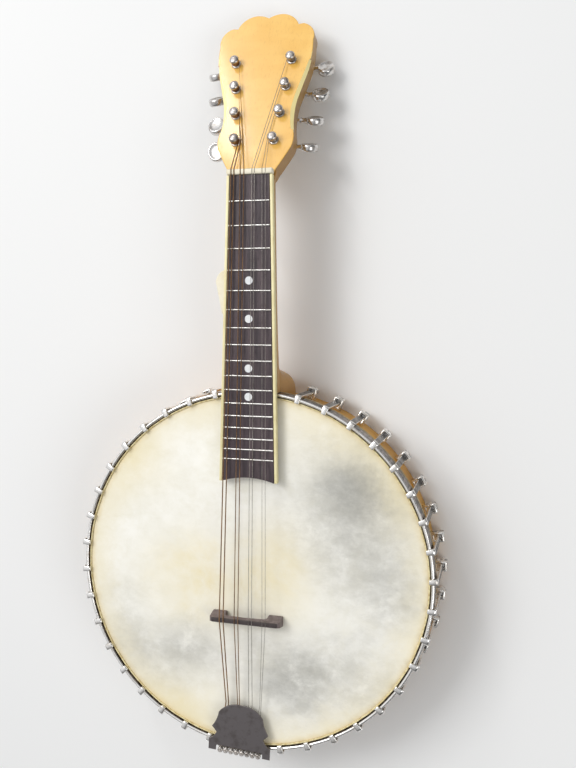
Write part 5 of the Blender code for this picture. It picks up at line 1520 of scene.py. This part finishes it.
for word, side in (("treble", 1), ("bass", -1)):
    form = softened(slab(strip_outline, low, high), 0.25 * mm, 1, 60.0)
    for k in range(4):
        here = k * row_pitch
        form = cut_by(form, pin(post_bore, 0.0, here, high + 5 * mm, low - 1.5 * mm))
        worm_y = here + apart
        for x in (-4.2 * mm, 4.2 * mm):
            lug = block(
                (x - 0.6 * mm, worm_y - 2.4 * mm, -22.0 * mm),
                (x + 0.6 * mm, worm_y + 2.4 * mm, low + 0.3 * mm),
            )
            softened(lug, 1.2 * mm, 3, 60.0, keep=crosses_lug_end)
            way = rod(1.75 * mm, (x - 3 * mm, worm_y, -worm_depth), (x + 3 * mm, worm_y, -worm_depth), 20)
            put(form, cut_by(lug, way))
    for x, y in ((0.0, start + 4 * mm), (-4.4 * mm * side, row_length * 0.5), (0.0, end - 3.5 * mm)):
        screw = slotted_screw(dome, 20, 0.3 * mm, 0.55 * mm)
        put(form, screw, Matrix.Translation((x, y, low)) @ Matrix.Rotation(pi, 4, "X"))
    place = on_post(side, side * post_half, post_along)
    piece(f"plate_{word}", form, nickel, node=f"tuner_plate_{word}", at=place, sharp=30.0)
print("tuners:", len(posts))

# %% [markdown]
# ## Strings
# A string runs from its loop on a prong, out under the cover's front edge, over the bridge and the nut,
# and round the inner side of its post for a few turns. Rings of points could be bridged along it, but a
# curve with a round section keeps its thickness through every bend. It is made a mesh at the end.

# %% The way of a string
string_radii = mm_lengths(0.45, 0.45, 0.35, 0.35, 0.20, 0.20, 0.16, 0.16)
strings_at_tail = mm_lengths(-17.7, -15.7, -8.4, -6.9, 0.6, 3.2, 9.2, 10.2)
post_order = ("bass_1", "bass_2", "bass_3", "bass_4", "treble_4", "treble_3", "treble_2", "treble_1")
by_name = {name: (side, across, along) for name, side, across, along in posts}


def string_points(k):
    """The way of a string's middle, from its prong to the last turn round its post."""
    radius, at_nut = string_radii[k], strings_at_nut[k]
    side, across, along = by_name[post_order[k]]
    level = bracket_high + clear + max(radius, 0.5 * mm)
    points = [
        on_tail @ Vector((prongs[k], 5.0 * mm - prong_out, level)),
        Vector((strings_at_tail[k], pot.y + cover_front + 1.0 * mm, level + 0.4 * mm)),
        Vector((strings_at_bridge[k], nut_y + bridge_y, bridge_top + radius * 0.6)),
        Vector((at_nut, nut_y + nut_length * 0.1, nut_top + radius * 0.4)),
        Vector((at_nut, nut_y + nut_length, nut_top + radius * 0.2)),
    ]
    low, high = 1.9 * mm + radius, 5.0 * mm - radius
    # A second string of a side passes the first post on its inner side.
    if post_order[k].endswith("_2"):
        _, first_across, first_along = by_name[post_order[k][:-1] + "1"]
        beside = first_across - side * (post_widest + 2 * clear + radius)
        points.append(on_head @ Vector((beside, first_along, low)))
    turns, per_turn = min(9.0, (high - low) / (radius * 2.04)), 14
    reach = post_waist[side] + radius
    for i in range(int(turns * per_turn) + 1):
        wind = side * tau * i / per_turn
        lift = low + (high - low) * i / (turns * per_turn)
        x, y = across - side * reach * cos(wind), along + reach * sin(wind)
        points.append(on_head @ Vector((x, y, lift)))
    return points


# %% Draw the strings
for k, radius in enumerate(string_radii):
    curve = bpy.data.curves.new(f"string_{k + 1}", "CURVE")
    curve.dimensions = "3D"
    curve.bevel_depth = radius
    curve.bevel_resolution = 3
    curve.use_fill_caps = True
    spline = curve.splines.new("POLY")
    path = string_points(k)
    spline.points.add(len(path) - 1)
    for point, place in zip(spline.points, path):
        point.co = (*place, 1.0)
    drawn = linked("drawn", curve)
    form = bmesh.new()
    form.from_mesh(evaluated(drawn))
    bpy.data.objects.remove(drawn)
    coat, slot = (bronze, "bronze") if k < 4 else (steel, "steel")
    piece(f"gut_{k + 1}", form, coat, node=f"string_{k + 1}", sharp=60.0)
print("strings:", len(string_radii))

# %% [markdown]
# ## What stays from the solid model
# Only the flesh hoop stays as the solid model made it. It is hidden in the skin's fold, so a finer one
# would never be seen. It gets the steel finish.

# %% Finish for the kept node
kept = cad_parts["flesh_hoop"].data.materials
kept.clear()
kept.append(steel)
print("kept from the solid model: flesh_hoop")

# %% [markdown]
# ## Floor and light
# A pale floor, one large soft light from the upper left, a weaker one from the right, and a narrow one
# placed where the camera sees its glare on the headstock's bass edge. Small or distant lamps would give
# hard shadows and specks on the metal. The camera sees the floor as near white, and the instrument's
# shadow stays on it.

# %% Floor
floor_form = bmesh.new()
bmesh.ops.create_grid(floor_form, x_segments=1, y_segments=1, size=6.0)
floor_colour = (0.86, 0.86, 0.85, 1.0)
floor_paint = Paint("floor", roughness=0.7, Specular_IOR_Level=0.1, Base_Color=floor_colour)
floor = linked("floor", as_mesh("floor", floor_form))
floor.data.materials.append(floor_paint.material)


# %% Lights
def soft_light(name, place, target, power, size, length=None):
    """An area light that faces a target, square or, with a length, oblong."""
    lamp = bpy.data.lights.new(name, "AREA")
    lamp.energy = power
    lamp.size = size
    if length:
        lamp.shape = "RECTANGLE"
        lamp.size_y = length
    obj = linked(name, lamp)
    obj.location = place
    obj.rotation_euler = (Vector(target) - Vector(place)).to_track_quat("-Z", "Y").to_euler()


soft_light("window", (-0.9, 0.7, 1.5), (0.0, -0.05, 0.0), power=15.5, size=0.8)
soft_light("fill", (1.2, -0.5, 1.2), (0.0, -0.1, 0.0), power=7.2, size=0.9)
glare_on = on_head @ Vector((-31.0 * mm, 62.0 * mm, 0.0))
face_normal = (on_head.to_3x3() @ Vector((0.0, 0.0, 1.0))).normalized()
sight = (camera.location - glare_on).normalized()
mirrored_sight = 2.0 * sight.dot(face_normal) * face_normal - sight
soft_light("glare", glare_on + mirrored_sight * 1.2, glare_on, power=1.6, size=0.05, length=0.24)

# %% [markdown]
# ## Sky
# Metal shows what surrounds it, and an even sky would leave it flat. A picture of a room would do more
# than is needed here: the sky is grey away from the window and brighter towards it, by the angle of each
# direction to the window's.

# %% Sky
world = bpy.data.worlds.new("sky")
bpy.context.scene.world = world
world.use_nodes = True
sky = world.node_tree
behind = sky.nodes["Background"]
behind.inputs["Color"].default_value = (0.97, 0.98, 1.0, 1.0)
direction = sky.nodes.new("ShaderNodeTexCoord")
toward_window = sky.nodes.new("ShaderNodeVectorMath")
toward_window.operation = "DOT_PRODUCT"
toward_window.inputs[1].default_value = Vector((-0.55, 0.35, 0.75)).normalized()
sky.links.new(direction.outputs["Generated"], toward_window.inputs[0])
brightness = sky.nodes.new("ShaderNodeMapRange")
brightness.interpolation_type = "SMOOTHSTEP"
for socket, number in zip(brightness.inputs[1:5], (0.1, 0.95, 0.12, 0.85)):
    socket.default_value = number
sky.links.new(toward_window.outputs["Value"], brightness.inputs[0])
sky.links.new(brightness.outputs[0], behind.inputs["Strength"])
bpy.context.scene.view_settings.view_transform = "Standard"

# %% [markdown]
# ## Count the pieces
# The number of pieces made is printed. The shown pieces have to stay inside the solid
# model's box.

# %% Count the pieces
print("pieces", len(made_pieces))
